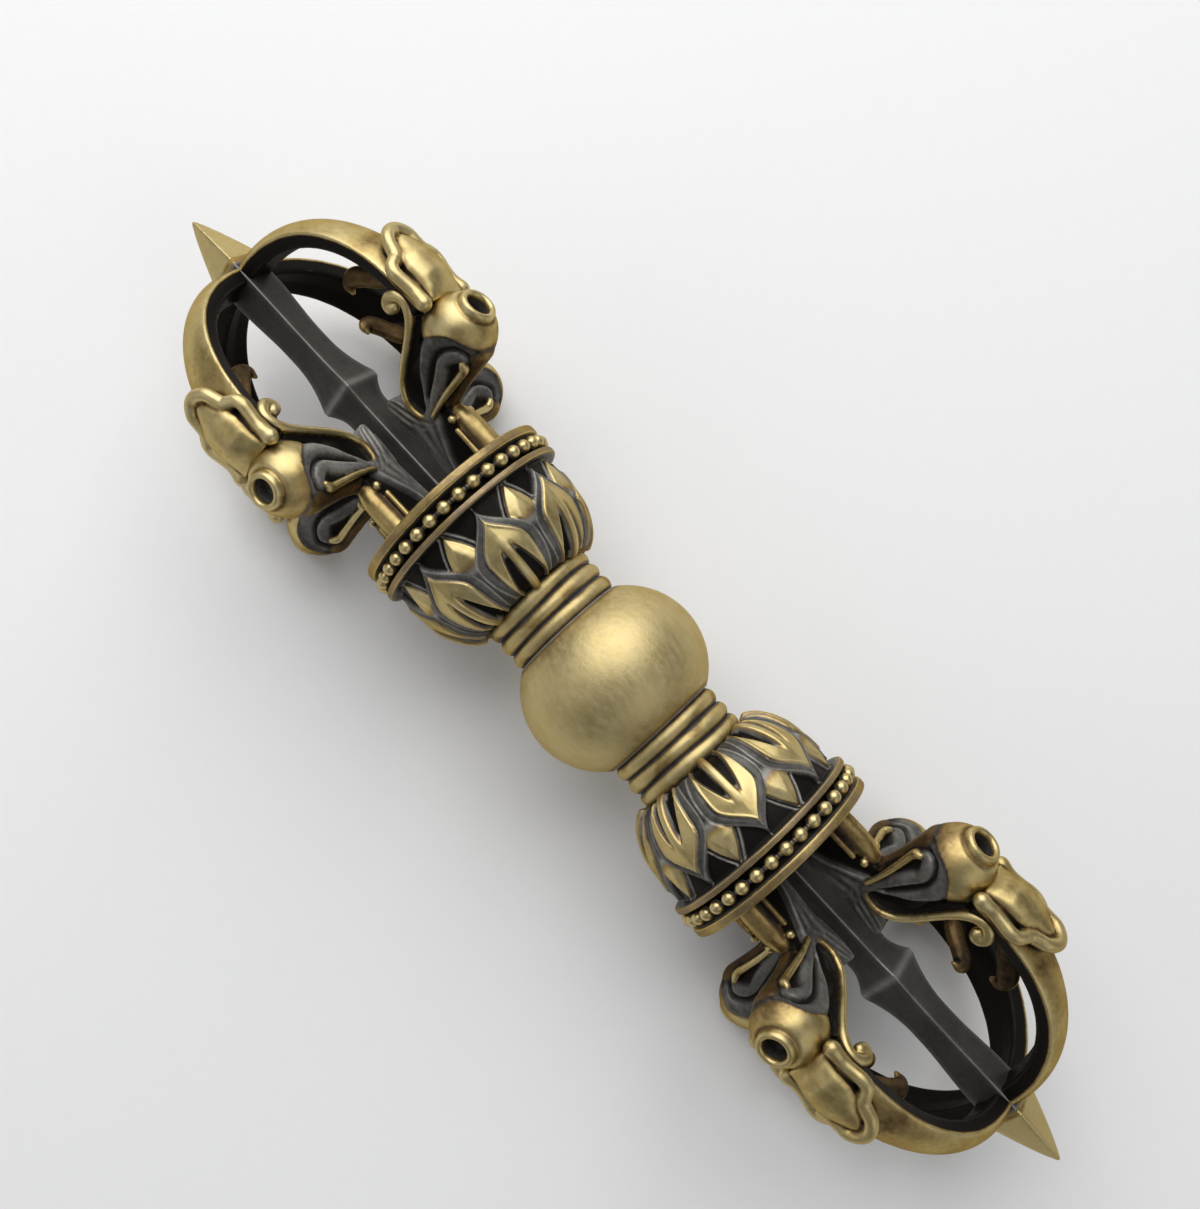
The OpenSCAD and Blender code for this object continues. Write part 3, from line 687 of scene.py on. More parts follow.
def bowl_sector(count, leaf_height, border):
    """One petal's sector of a bowl, closed round its bore, with the tone of each point."""
    base, wide, bore, rows, columns = 8.4, 13.9, 4.05, 100, 84
    phi = np.linspace(0, math.pi / 2, rows)
    x = BOWL_X + (RIM_X - BOWL_X) * (1 - np.cos(phi))
    radius = base + (wide - base) * np.sin(phi)
    run = np.concatenate([[0], np.cumsum(np.hypot(np.diff(x), np.diff(radius)))])
    share = (run / run[-1])[:, None]
    half = math.pi / count
    angle = np.linspace(-half, half, columns + 1)
    across = np.abs(angle)[None, :] * radius[:, None]
    from_side = half * radius[:, None] - across

    # Background, then the petal behind, then the bordered petal with its leaf and rib
    ground = np.full(across.shape, -0.6)
    tone = np.zeros(across.shape)

    def lay(cover, height, shade):
        """Lays a height and a tone over what is there, as far as the cover reaches."""
        nonlocal ground, tone
        ground = ground * (1 - cover) + cover * height
        tone = tone * (1 - cover) + cover * shade

    reach = (x - BOWL_X)[:, None] / (RIM_X - BOWL_X)
    behind_width = np.interp(reach, [0.4, 0.6, 0.7, 0.8, 0.9, 1.0], [2.95, 2.55, 2.15, 1.55, 0.8, 0.0])
    behind_slope = np.gradient(behind_width[:, 0], run)[:, None]
    behind = (behind_width - from_side) / np.sqrt(1 + behind_slope ** 2)
    line = mound(behind, -0.5, 0.13)
    ground += 0.3 * line
    tone += 0.3 * line
    swell = smooth_step(0, 1.6, behind)
    fade = smooth_step(0.5, 0.72, share)
    lay(smooth_step(-0.05, 0.2, behind), -0.15 + 0.5 * swell, 0.04 + 0.9 * fade)

    band = inside_outline(share, across, run, 2.7, 4.85, 0.5, 1.0)
    edge = mound(band, 0.16, 0.1)
    nub = smooth_step(0.93, 0.97, share)
    roll = np.sqrt(np.clip(np.sin(math.pi * np.clip(band / border, 0, 1)), 0, 1))
    lay(smooth_step(-0.06, 0.16, band), 0.28 * roll + 0.35 * nub,
        np.maximum(0.03 + 0.04 * roll + 0.28 * edge, nub))
    lay(smooth_step(border - 0.05, border + 0.1, band), -0.25, 0)

    leaf_outline = (2.1, 3.4, 0.5, 0.885)
    leaf = inside_outline(share, across, run, *leaf_outline)
    lip = mound(leaf, 0.22, 0.16)
    crown = smooth_step(0, 2.6, leaf)
    body = leaf_height - 0.25 + 0.12 * lip + 0.25 * crown
    # Dark hollows open towards the collar between the rib and the leaf's two edges
    rib_half = 0.55
    hollow_end = np.interp(share, [0, 0.12, 0.3, 0.55], [1.0, 1.0, 0.55, 0.0])
    hollow_out = rib_half + 0.25 + (outline_width(share, *leaf_outline) - rib_half - 0.75) * hollow_end
    hollow = (smooth_step(rib_half - 0.08, rib_half + 0.2, across)
              * smooth_step(hollow_out + 0.25, hollow_out - 0.1, across) * smooth_step(0.58, 0.42, share))
    rib = np.sqrt(np.clip(1 - (across / (rib_half + 0.1)) ** 2, 0, 1)) * smooth_step(0.66, 0.42, share)
    body = body + 0.3 * rib - 0.75 * hollow
    leaf_tone = 0.86 + 0.14 * lip - 0.95 * hollow - 0.25 * smooth_step(0.3, 0.0, share)
    lay(smooth_step(-0.05, 0.2, leaf), body, np.maximum(leaf_tone, 0.95 * rib))

    # Heights die out where the bowl meets collar and rim
    ground = ground * smooth_step(0, 0.07, share) * smooth_step(1.0, 0.985, share)
    slope_x, slope_r = np.gradient(x), np.gradient(radius)
    size = np.hypot(slope_x, slope_r)
    out_x, out_r = -slope_r / size, slope_x / size
    px = x[:, None] + ground * out_x[:, None]
    pr = radius[:, None] + ground * out_r[:, None]
    px = np.pad(px, ((1, 1), (0, 0)), constant_values=((BOWL_X, RIM_X), (0, 0)))
    pr = np.pad(pr, ((1, 1), (0, 0)), constant_values=bore)
    tone = np.pad(tone, ((1, 1), (0, 0)), mode="edge")
    points = coordinates(px, -pr * np.sin(angle), pr * np.cos(angle))
    faces = looped_faces(*px.shape, wrap=False)
    return points.reshape(-1, 3), [face[::-1] for face in faces], tone.ravel()


class VAJRA_OT_bowls(bpy.types.Operator):
    """Lotus bowls with bordered petals round them"""
    bl_idname = "vajra.bowls"
    bl_label = "Lotus Bowls"

    def execute(self, context):
        sizes = context.scene.vajra_sizes
        points, faces, tone = bowl_sector(sizes.petal_count, sizes.petal_height / MM, sizes.border_width / MM)
        sector = bare_mesh("petal_sector", points, faces)
        set_tone(sector, tone)
        values = {"Count": sizes.petal_count, "Weld": 0.004, "Material": finish("antique_brass")}
        bowl = grown("petal_ring", sector, sector_ring_tree(), values)
        for side in SIDES:
            piece(f"{side}_bowl", placed(bowl, side), f"{side}_end", "antique_brass", [f"{side}_lotus_bowl"])
        return {"FINISHED"}


# Rims and beads

def rounded_band(x0, x1, radius, floor, bulge):
    """Outer face of a band: steep rounded shoulders and a gently swollen face."""
    k = np.linspace(-1, 1, 29)
    face = radius - bulge * (1 - np.sqrt(np.clip(1 - np.abs(k) ** 5, 0, 1)))
    face[0] = face[-1] = floor
    return np.column_stack([x0 + (x1 - x0) * (k + 1) / 2, face])


def rim_profile(radius):
    """Lower band, bead channel, lip and bore, with the tone of each point."""
    band_end, lip_start, rim_end = 29.45, 32.1, 33.61
    floor, bore, lip_inner, chamfer, shoulder = 13.67, 12.77, 13.8, 0.25, 0.7
    band = rounded_band(RIM_X, band_end, radius, radius - shoulder, 0.5)
    lip = rounded_band(lip_start, rim_end - 0.1, radius, radius - shoulder, 0.6)
    channel = [(band_end, floor + 0.1), (band_end + 0.15, floor), (lip_start - 0.15, floor),
               (lip_start, floor + 0.1)]
    inside = [(rim_end, lip_inner + chamfer), (rim_end - chamfer, lip_inner), (SEAT_X, lip_inner),
              (SEAT_X, bore), (RIM_X, bore)]
    edge = 1 - np.abs(np.linspace(-1, 1, len(band)))
    worn_edge = mound(edge, 0.16, 0.12)
    band_tone = (0.5 + 0.42 * worn_edge) * smooth_step(-0.02, 0.1, edge)
    lip_tone = (0.6 + 0.38 * worn_edge) * smooth_step(-0.04, 0.06, edge)
    tones = np.concatenate([band_tone, np.zeros(4), lip_tone, [0.7, 0.2, 0, 0, 0]])
    return np.vstack([band, channel, lip, inside])[::-1], tones[::-1]


class VAJRA_OT_rims(bpy.types.Operator):
    """Rims with their bead rows"""
    bl_idname = "vajra.rims"
    bl_label = "Pearl Rims"

    def execute(self, context):
        sizes = context.scene.vajra_sizes
        profile, tones = rim_profile(sizes.rim_radius / MM)
        steps, row_radius, row_x, wire_radius = 192, 14.625, 30.755, 0.35
        points, faces = turned(profile, steps)
        mesh = bare_mesh("rim", points, faces)
        set_tone(mesh, np.repeat(tones, steps))
        tree = bead_row_tree()
        for side in SIDES:
            piece(f"{side}_rim", placed(mesh, side), f"{side}_end", "antique_brass",
                  [f"{side}_pearl_rim"], 45)
            values = {
                "Count": sizes.bead_count, "Row Radius": row_radius * MM,
                "Bead Diameter": sizes.bead_diameter, "Bead Length": sizes.bead_length,
                "Wire Radius": wire_radius * MM, "Place": SIDES[side] * row_x * MM,
                "Material": finish("bead_brass"),
            }
            beads = grown(f"{side}_bead_row", bare_mesh("bead_start", [], []), tree, values)
            across, height = mesh_arrays(beads)[0].T[1:] / MM
            reach = np.hypot(across, height)
            pitch = 2 * math.pi / sizes.bead_count
            off_bead = np.abs((np.arctan2(across, height) / pitch + 0.5) % 1 - 0.5) * pitch * reach
            set_tone(beads, 0.98 * smooth_step(14.2, 15.15, reach) * smooth_step(1.05, 0.85, off_bead))
            piece(f"{side}_beads", beads, f"{side}_end", "bead_brass", [f"{side}_bead_wire"])
        return {"FINISHED"}


# Seat discs and central prongs

def shaft_half_diagonal(x):
    """Half-diagonal of the square central prong: shaft, flared knop, waist, joint and spear tip."""
    shaft, knop, waist, joint, spear, point = 3.3, 4.7, 3.1, 3.6, 4.0, 0.25
    knop_low, knop_high, flare, fall = 53.8, 54.6, 3.4, 7.8
    swell_from, swell_to = 64, 73.6
    spear_x = JOINT_X + 0.5
    below = shaft + (knop - shaft) * np.clip((x - knop_low + flare) / flare, 0, 1) ** 2
    above = waist + (knop - waist) * np.clip(1 - (x - knop_high) / fall, 0, 1) ** 2
    above = above + (joint - waist) * smooth_step(swell_from, swell_to, x)
    share = np.clip((x - spear_x) / (TIP_X - spear_x), 0, 1)
    tip = spear * (1 - share) ** 0.85 + point * share
    shoulder = smooth_step(JOINT_X, spear_x, x)
    return np.where(x < knop_high, below, above) * (1 - shoulder) + tip * shoulder


def shaft_form():
    """The central prong as rings with small rounded corners, with the tone of each point."""
    stations = np.unique(np.round(np.concatenate([
        np.linspace(SEAT_X, 50, 20), np.linspace(50, 56, 40), np.linspace(56, JOINT_X - 0.2, 50),
        np.linspace(JOINT_X - 0.2, JOINT_X + 0.8, 12), np.linspace(JOINT_X + 0.8, TIP_X, 30)]), 4))
    corner, arc_steps, face_steps = 0.28, 4, 6
    rings, tones = [], []
    for x in stations:
        d = float(shaft_half_diagonal(np.array(x)))
        r = min(corner, 0.45 * d)
        loop, marks = [], []
        for quarter in range(4):
            start = quarter * math.pi / 2
            centre = d - r * math.sqrt(2)
            arc = [(centre + r * math.cos(a), r * math.sin(a))
                   for a in np.linspace(-math.pi / 4, math.pi / 4, arc_steps + 1)]
            following = (-arc[0][1], arc[0][0])
            flat = [tuple(a + (b - a) * k for a, b in zip(arc[-1], following))
                    for k in np.linspace(0, 1, face_steps + 1)[1:-1]]
            cosine, sine = math.cos(start), math.sin(start)
            loop += [(x, u * cosine - v * sine, u * sine + v * cosine) for u, v in arc + flat]
            marks += [0.05, 0.12, 0.17, 0.12, 0.05] + [0.03] * len(flat)
        rings.append(loop)
        gilded = float(smooth_step(JOINT_X - 0.6, JOINT_X + 0.2, x))
        tones.append(np.maximum(np.array(marks) + 0.1 * mound(x, 54.2, 0.5), 0.9 * gilded))
    points, faces = loft(rings)
    return points, faces, np.concatenate(tones)


class VAJRA_OT_shafts(bpy.types.Operator):
    """Square central prongs with their knops and spear tips, and the discs they stand on"""
    bl_idname = "vajra.shafts"
    bl_label = "Central Prongs"

    def execute(self, context):
        points, faces, tone = shaft_form()
        mesh = bare_mesh("shaft", points, faces)
        set_tone(mesh, tone)
        for side in SIDES:
            piece(f"{side}_shaft", placed(mesh, side), f"{side}_end", "black_patina",
                  [f"{side}_central_prong"], 30)
            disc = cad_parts[f"{side}_seat_disc"]
            disc.data.materials.clear()
            disc.data.materials.append(finish("black_patina"))
        return {"FINISHED"}


# Makara heads

BALL_X, BALL_HEIGHT, BALL_RADIUS = 46.8, 21.0, 5.0


def seam_height(x):
    """Height above the axis of the seam where the ball's skin ends on the flank."""
    top, fall, start = 22.4, 0.235, 44.8
    return top - fall * np.maximum(np.asarray(x, float) - start, 0) ** 2


def cheek_half(points):
    """Half-thickness of the cheek at points of (along X, above the axis), from seam to neck."""
    neck, thinnest, depth = 1.9, 1.3, 12.4
    x, height = np.asarray(points, float).T
    seam = seam_height(x)
    ball = np.sqrt(np.maximum(BALL_RADIUS ** 2 - (x - BALL_X) ** 2 - (seam - BALL_HEIGHT) ** 2, 0))
    share = np.clip(1 + (height - seam) / depth, 0, 1)
    return neck + (np.maximum(0.95 * ball, thinnest) - neck) * share


def throat_aside(height):
    """Sideways distance of the rope along the throat."""
    return np.interp(height, [7.6, 9.5, 11.6, 14.0, 17.2, 19.5], [2.0, 2.3, 2.6, 3.0, 3.4, 3.6])


def flank(points, sideways):
    """Points of (along X, above the axis) on a head's flank; sideways is one number or one a point."""
    points = np.array(points, float)
    return np.column_stack([points[:, 0], np.broadcast_to(sideways, len(points)), points[:, 1]])


def flank_sheet(edge, far_edge, outer, inner=0.3, columns=13):
    """A solid on both flanks between two edges; outer gives its half-width at points and shares across."""
    share = np.linspace(0, 1, columns)
    rings = []
    for a, b in zip(smooth_path(edge, 6), smooth_path(far_edge, 6)):
        points = a + share[:, None] * (b - a)
        rings.append(np.vstack([flank(points, outer(points, share)), flank(points[::-1], inner)]))
    return both_flanks(loft(rings))


def socket_ball(socket_radius):
    """Ball with a ringed socket, as (radius, height) from its foot to the socket's floor."""
    crease = 3.2
    angle = np.linspace(-math.pi / 2 + 0.03, math.acos(crease / BALL_RADIUS), 90)
    skin = np.column_stack([BALL_RADIUS * np.cos(angle), BALL_HEIGHT + BALL_RADIUS * np.sin(angle)])
    ring = [(2.68, 24.9), (2.68, 25.35), (2.6, 25.75), (2.42, 26.02), (2.15, 26.14), (1.9, 26.06),
            (1.7, 25.85)]
    hole = [(socket_radius, 25.3), (socket_radius - 0.03, 24.3), (socket_radius - 0.25, 23.7), (0.9, 23.5),
            (0.05, 23.45)]
    return np.vstack([skin, ring, hole])


def helmet(form, socket_radius):
    """The ball cut along the seam above the cheek; its bright skin and its dark cut and socket as sheets."""
    points, faces = form
    socket_floor, snap, flatten = 23, 0.15, 0.94
    sunk = np.hypot(points[:, 0] - BALL_X, points[:, 1]) < socket_radius + 0.05
    sunk &= points[:, 2] > socket_floor
    short = seam_height(points[:, 0]) - points[:, 2]
    under = short > 0
    snapped = np.where(short > -snap, short, 0)
    points = points + np.outer(np.where(under, short * flatten, snapped), (0, 0, 1))
    skin, dark = [], []
    for face in faces:
        (dark if all(under[i] or sunk[i] for i in face) else skin).append(face)
    return (points, faces), (points, skin), (points, dark)


def cheek_forms():
    """The cheek's dark ground and the raised bands on it: a crescent below the seam, and a hooked stem."""
    ground = flank_sheet(
        [(42.8, 8.3), (45.4, 8.3), (47.4, 9.7), (48.8, 12.0), (49.8, 14.3), (50.6, 16.6), (50.6, 18.6),
         (49.8, 20.4)],
        [(41.0, 9.8), (41.4, 11.8), (41.7, 14.0), (41.9, 16.0), (42.0, 18.0), (42.2, 19.8), (42.8, 21.4),
         (43.8, 22.6)],
        lambda points, share: np.maximum(cheek_half(points) - 0.75, 1.2), -0.3)
    crescent = flank_sheet(
        [(43.1, 8.9), (44.4, 9.9), (45.4, 11.2), (46.9, 13.2), (48.0, 15.6), (49.0, 17.8), (48.7, 19.4),
         (47.5, 21.0), (46.0, 22.0), (44.6, 22.4), (43.3, 22.3), (42.3, 21.7)],
        [(43.0, 9.2), (44.0, 10.3), (44.7, 11.0), (45.7, 13.3), (46.4, 15.8), (46.6, 17.6), (46.3, 19.1),
         (45.6, 20.2), (44.8, 21.1), (44.0, 21.3), (43.0, 21.1), (42.2, 20.4)],
        lambda points, share: cheek_half(points) - 0.4 * np.abs(2 * share - 1) ** 6)
    stem = flank_sheet(
        [(43.0, 9.2), (44.1, 11.0), (44.9, 13.6), (45.5, 15.6), (45.9, 17.3), (45.7, 18.9), (45.0, 20.0),
         (44.1, 20.6), (43.2, 20.5), (42.7, 20.1)],
        [(42.5, 9.8), (42.9, 12.6), (43.4, 15.0), (43.9, 16.4), (44.3, 17.2), (44.2, 17.8), (43.9, 18.3),
         (43.6, 18.7), (43.2, 19.1), (42.8, 19.5)],
        lambda points, share: cheek_half(points) + 0.15 - 0.5 * np.abs(2 * share - 1) ** 4)
    return ground, crescent, stem


def frond_forms():
    """Fronds beside the central prong: two ribbed leaves that part in a V, and a fold under the upper one."""
    def ridges(share, *places):
        return sum(0.45 * mound(share, place, 0.11) for place in places)

    def folded(points, share):
        return 1.75 + ridges(share, 0.12, 0.48, 0.84) - 0.5 * np.abs(2 * share - 1) ** 20

    def part_ribbed(points, share):
        ribs = ridges(share, 0.1) + smooth_step(36.5, 41, points[:, 0]) * ridges(share, 0.4, 0.7)
        return 1.8 + ribs - 0.4 * np.abs(2 * share - 1) ** 12

    upper = flank_sheet(
        [(48.55, 5.5), (48.3, 6.2), (47.3, 6.8), (45.6, 7.35), (44.0, 7.8), (42.6, 8.6), (41.6, 9.4)],
        [(48.5, 5.1), (48.0, 4.65), (46.7, 4.55), (44.4, 4.9), (42.9, 5.5), (41.9, 6.3), (41.0, 7.4)],
        folded, columns=31)
    lower = flank_sheet(
        [(42.2, 8.9), (41.3, 9.8), (39.8, 8.9), (38.2, 7.9), (36.6, 6.9), (34.5, 6.1), (SEAT_X, 5.7)],
        [(44.0, 4.9), (42.2, 4.5), (40.2, 4.4), (38.5, 4.25), (36.8, 4.1), (34.5, 4.0), (SEAT_X, 3.9)],
        part_ribbed, columns=31)
    fold = flank_sheet(
        [(47.0, 4.7), (45.0, 4.9), (43.2, 5.5)], [(46.6, 3.95), (44.0, 4.1), (41.6, 4.3)],
        lambda points, share: 1.75 - 0.3 * np.abs(2 * share - 1) ** 6)
    return upper, lower, fold


def head_casting(rope, socket_radius):
    """One makara head standing above the axis."""
    whole_ball = turned_upright(socket_ball(socket_radius), (BALL_X, 0, 0), 120)
    ball, ball_skin, ball_dark = helmet(whole_ball, socket_radius)
    ground, crescent, stem = cheek_forms()
    throat_points = [(43.0, 8.0), (43.8, 7.7), (45.5, 7.7), (46.9, 8.4), (48.1, 9.6), (49.2, 11.8),
                     (50.1, 14.4), (51.1, 17.0), (52.1, 18.8), (53.2, 19.8), (54.4, 20.1), (55.4, 19.6),
                     (55.9, 18.6), (55.6, 17.8), (55.0, 17.6), (54.7, 18.1)]
    throat = smooth_path(throat_points)
    along = np.linspace(0, 1, len(throat))
    size = rope * np.interp(along, [0, 0.3, 0.45, 0.6, 0.8, 1], [0.8, 0.9, 1.0, 1.3, 1.6, 1.5])
    aside = throat_aside(throat[:, 1]) - np.interp(along, [0, 0.15], [0.35, 0])
    throat = flank(throat, aside)
    throat_rope = both_flanks(tube(throat, size))
    faded, browned = (both_flanks(tube(throat[part], size[part] + 0.03))
                      for part in (slice(20), slice(19, 27)))
    knot = both_flanks(ellipsoid((42.2, 1.5, 9.0), (1.4, 0.65, 1.2)))
    web = flank_sheet(throat_points[1:9], [(x - 1.2, z + 0.6) for x, z in throat_points[1:9]],
                      lambda points, share: throat_aside(points[:, 1]) - 0.35 - 0.5 * share)
    crest = smooth_path([(42.9, 19.3), (42.6, 18.9), (42.4, 18.2), (42.4, 16.6), (42.4, 14.2), (42.3, 12.0),
                         (42.0, 9.6)], 6)
    along = np.linspace(0, 1, len(crest))
    crest_size = np.interp(along, [0, 0.1, 0.2, 0.5, 1], [0.45, 0.58, 0.66, 0.56, 0.35])
    crest_rope = both_flanks(tube(flank(crest, cheek_half(crest) + 0.3), crest_size))
    nape_path = smooth_path([(41.9, 0, 11.9), (42.5, 0, 15.0), (42.8, 0, 18.0), (43.0, 0, 21.2)], 6)
    nape = tube(nape_path, np.linspace(1.0, 1.7, len(nape_path)), 20)
    nape[0][:, 1] *= 1.4
    spindle_x = np.array([SEAT_X - 0.1, 33.5, 35, 37, 38.6, 39.8, 40.8, 41.5])
    spindle_r = np.array([1.6, 1.65, 1.7, 1.7, 1.6, 1.35, 1.0, 0.6])
    spindle_z = np.interp(spindle_x, [32, 38, 42], [11.75, 11.8, 11.6])
    spindle = tube(np.column_stack([spindle_x, np.zeros(8), spindle_z]), spindle_r, 24)
    # Dark strips along both sides of the spindle, in the finish only, with no groove cut
    lines = both_flanks(tube([(33.0, 1.6, 12.0), (36.0, 1.66, 12.0), (39.0, 1.5, 12.0)], 0.15))
    neck_outline = [(SEAT_X, 5.5), (SEAT_X, 11.6), (41.5, 11.6), (42.5, 8.5), (38.0, 6.5)]
    neck = loft([flank(neck_outline, half) for half in (-1.35, 1.35)])
    bars = both_flanks(tube([(SEAT_X, 2.2, 11.0), (35.0, 2.2, 11.0), (38.2, 2.2, 11.05)], [0.45, 0.43, 0.42]))
    bead = both_flanks(ellipsoid((39.75, 2.15, 11.6), (0.65, 0.6, 0.6)))
    upper, lower, fold = frond_forms()
    solids = [ball, ground, web, crescent, stem, throat_rope, knot, crest_rope, nape, spindle, neck, bars,
              bead, upper, lower, fold]
    finishes = [(ball_skin, 0.86), (ball_dark, 0.12), (ground, 0.0), (web, 0.0), (crescent, 0.14),
                (stem, 0.14), (throat_rope, 0.9), (faded, 0.16), (browned, 0.45), (knot, 0.14),
                (crest_rope, 0.92), (nape, 0.55), (spindle, 0.8), (lines, 0.1), (neck, 0.0), (bars, 0.5),
                (bead, 0.92), (upper, 0.14), (lower, 0.13), (fold, 0.1)]
    # Brown ageing and painted shade: the ball and nape get browner towards the neck
    return casting("makara_head", solids, finishes, voxel=0.19, relax=3, browning_and_shade=lambda p: (
        0.32 * smooth_step(47.5, 43.0, p[:, 0]) * smooth_step(10, 14, p[:, 2])))


class VAJRA_OT_heads(bpy.types.Operator):
    """Makara heads round each central prong"""
    bl_idname = "vajra.heads"
    bl_label = "Makara Heads"

    def execute(self, context):
        sizes = context.scene.vajra_sizes
        head = head_casting(sizes.rope_radius / MM, sizes.socket_radius / MM)
        set_round("makara", head, "head")
        return {"FINISHED"}


# Outer prongs

ARCH_LENGTH, ARCH_RADIUS, ARCH_POWER = 24.0, 22.6, 2.2


def arch_place(distance):
    """Place and outward direction, as (along X, above the axis), of the arch's outer face at distances."""
    distance = np.asarray(distance, float)

    def height(x):
        share = np.clip((x - ARCH_X) / ARCH_LENGTH, 0, 1)
        return ARCH_RADIUS * (1 - share ** ARCH_POWER) ** (1 / ARCH_POWER)

    step = 0.05
    rise = (height(distance + step) - height(distance - step)) / (2 * step)
    out = np.stack([-rise, np.ones_like(rise)], axis=-1)
    return np.stack([distance, height(distance)], axis=-1), out / np.linalg.norm(out, axis=-1, keepdims=True)


def on_strap(distance, sideways, lift):
    """Points at a height over the highest line of the strap's outer face."""
    place, out = arch_place(distance)
    return coordinates(place[..., 0] + out[..., 0] * lift, sideways, place[..., 1] + out[..., 1] * lift)


def strap_stations():
    """Places and outward directions along the arch, close together where it turns to the axis."""
    foot_half, tip_half, tip_radius, foot_steps = 4.3, 2.45, 2.3, 5
    angle = np.linspace(0, 84, 57)
    x = ARCH_X + ARCH_LENGTH * np.sin(np.radians(angle)) ** (2 / ARCH_POWER)
    r = ARCH_RADIUS * np.cos(np.radians(angle)) ** (2 / ARCH_POWER)
    foot_x = np.linspace(MOUTH_X - 0.3, ARCH_X, foot_steps + 1)[:-1]
    foot = np.column_stack([foot_x, np.full(foot_steps, ARCH_RADIUS)])
    place = np.vstack([foot, np.column_stack([x, r]), [(JOINT_X, tip_radius)]])
    along = np.gradient(place, axis=0)
    out = np.column_stack([-along[:, 1], along[:, 0]])
    out /= np.linalg.norm(out, axis=1)[:, None]
    out[:foot_steps] = (0, 1)
    out[-1] = (1, 0)
    width = np.concatenate([np.full(foot_steps, foot_half), foot_half + (tip_half - foot_half) * angle / 90,
                            [tip_half]])
    return place, out, width


def strap_forms():
    """The arched strap as a solid, its outer face and other faces as sheets, and two of its edges as paths."""
    place, out, width = strap_stations()
    thick, crown, inner_share, columns = 3.4, 1.2, 0.8, 13
    outer = [(a, crown * a * a) for a in np.linspace(-1, 1, columns)]
    flank_side = [(0.97, crown + 0.35), (inner_share + 0.06, thick - 0.25), (inner_share - 0.08, thick)]
    other_side = [(-across, drop) for across, drop in flank_side[::-1]]
    across, drop = np.array([*outer, *flank_side, (0.0, thick - 0.25), *other_side]).T
    rings = np.array([np.column_stack([x - out_x * drop, across * half, r - out_r * drop])
                      for (x, r), (out_x, out_r), half in zip(place, out, width)])
    outer_sheet, rest_sheet = ((part.reshape(-1, 3), grid_faces(*part.shape[:2], wrap=False))
                               for part in (rings[:, :columns], rings[:, columns:]))
    return loft(rings[:, ::-1]), outer_sheet, rest_sheet, (rings[:, columns - 1], rings[:, columns + 1])


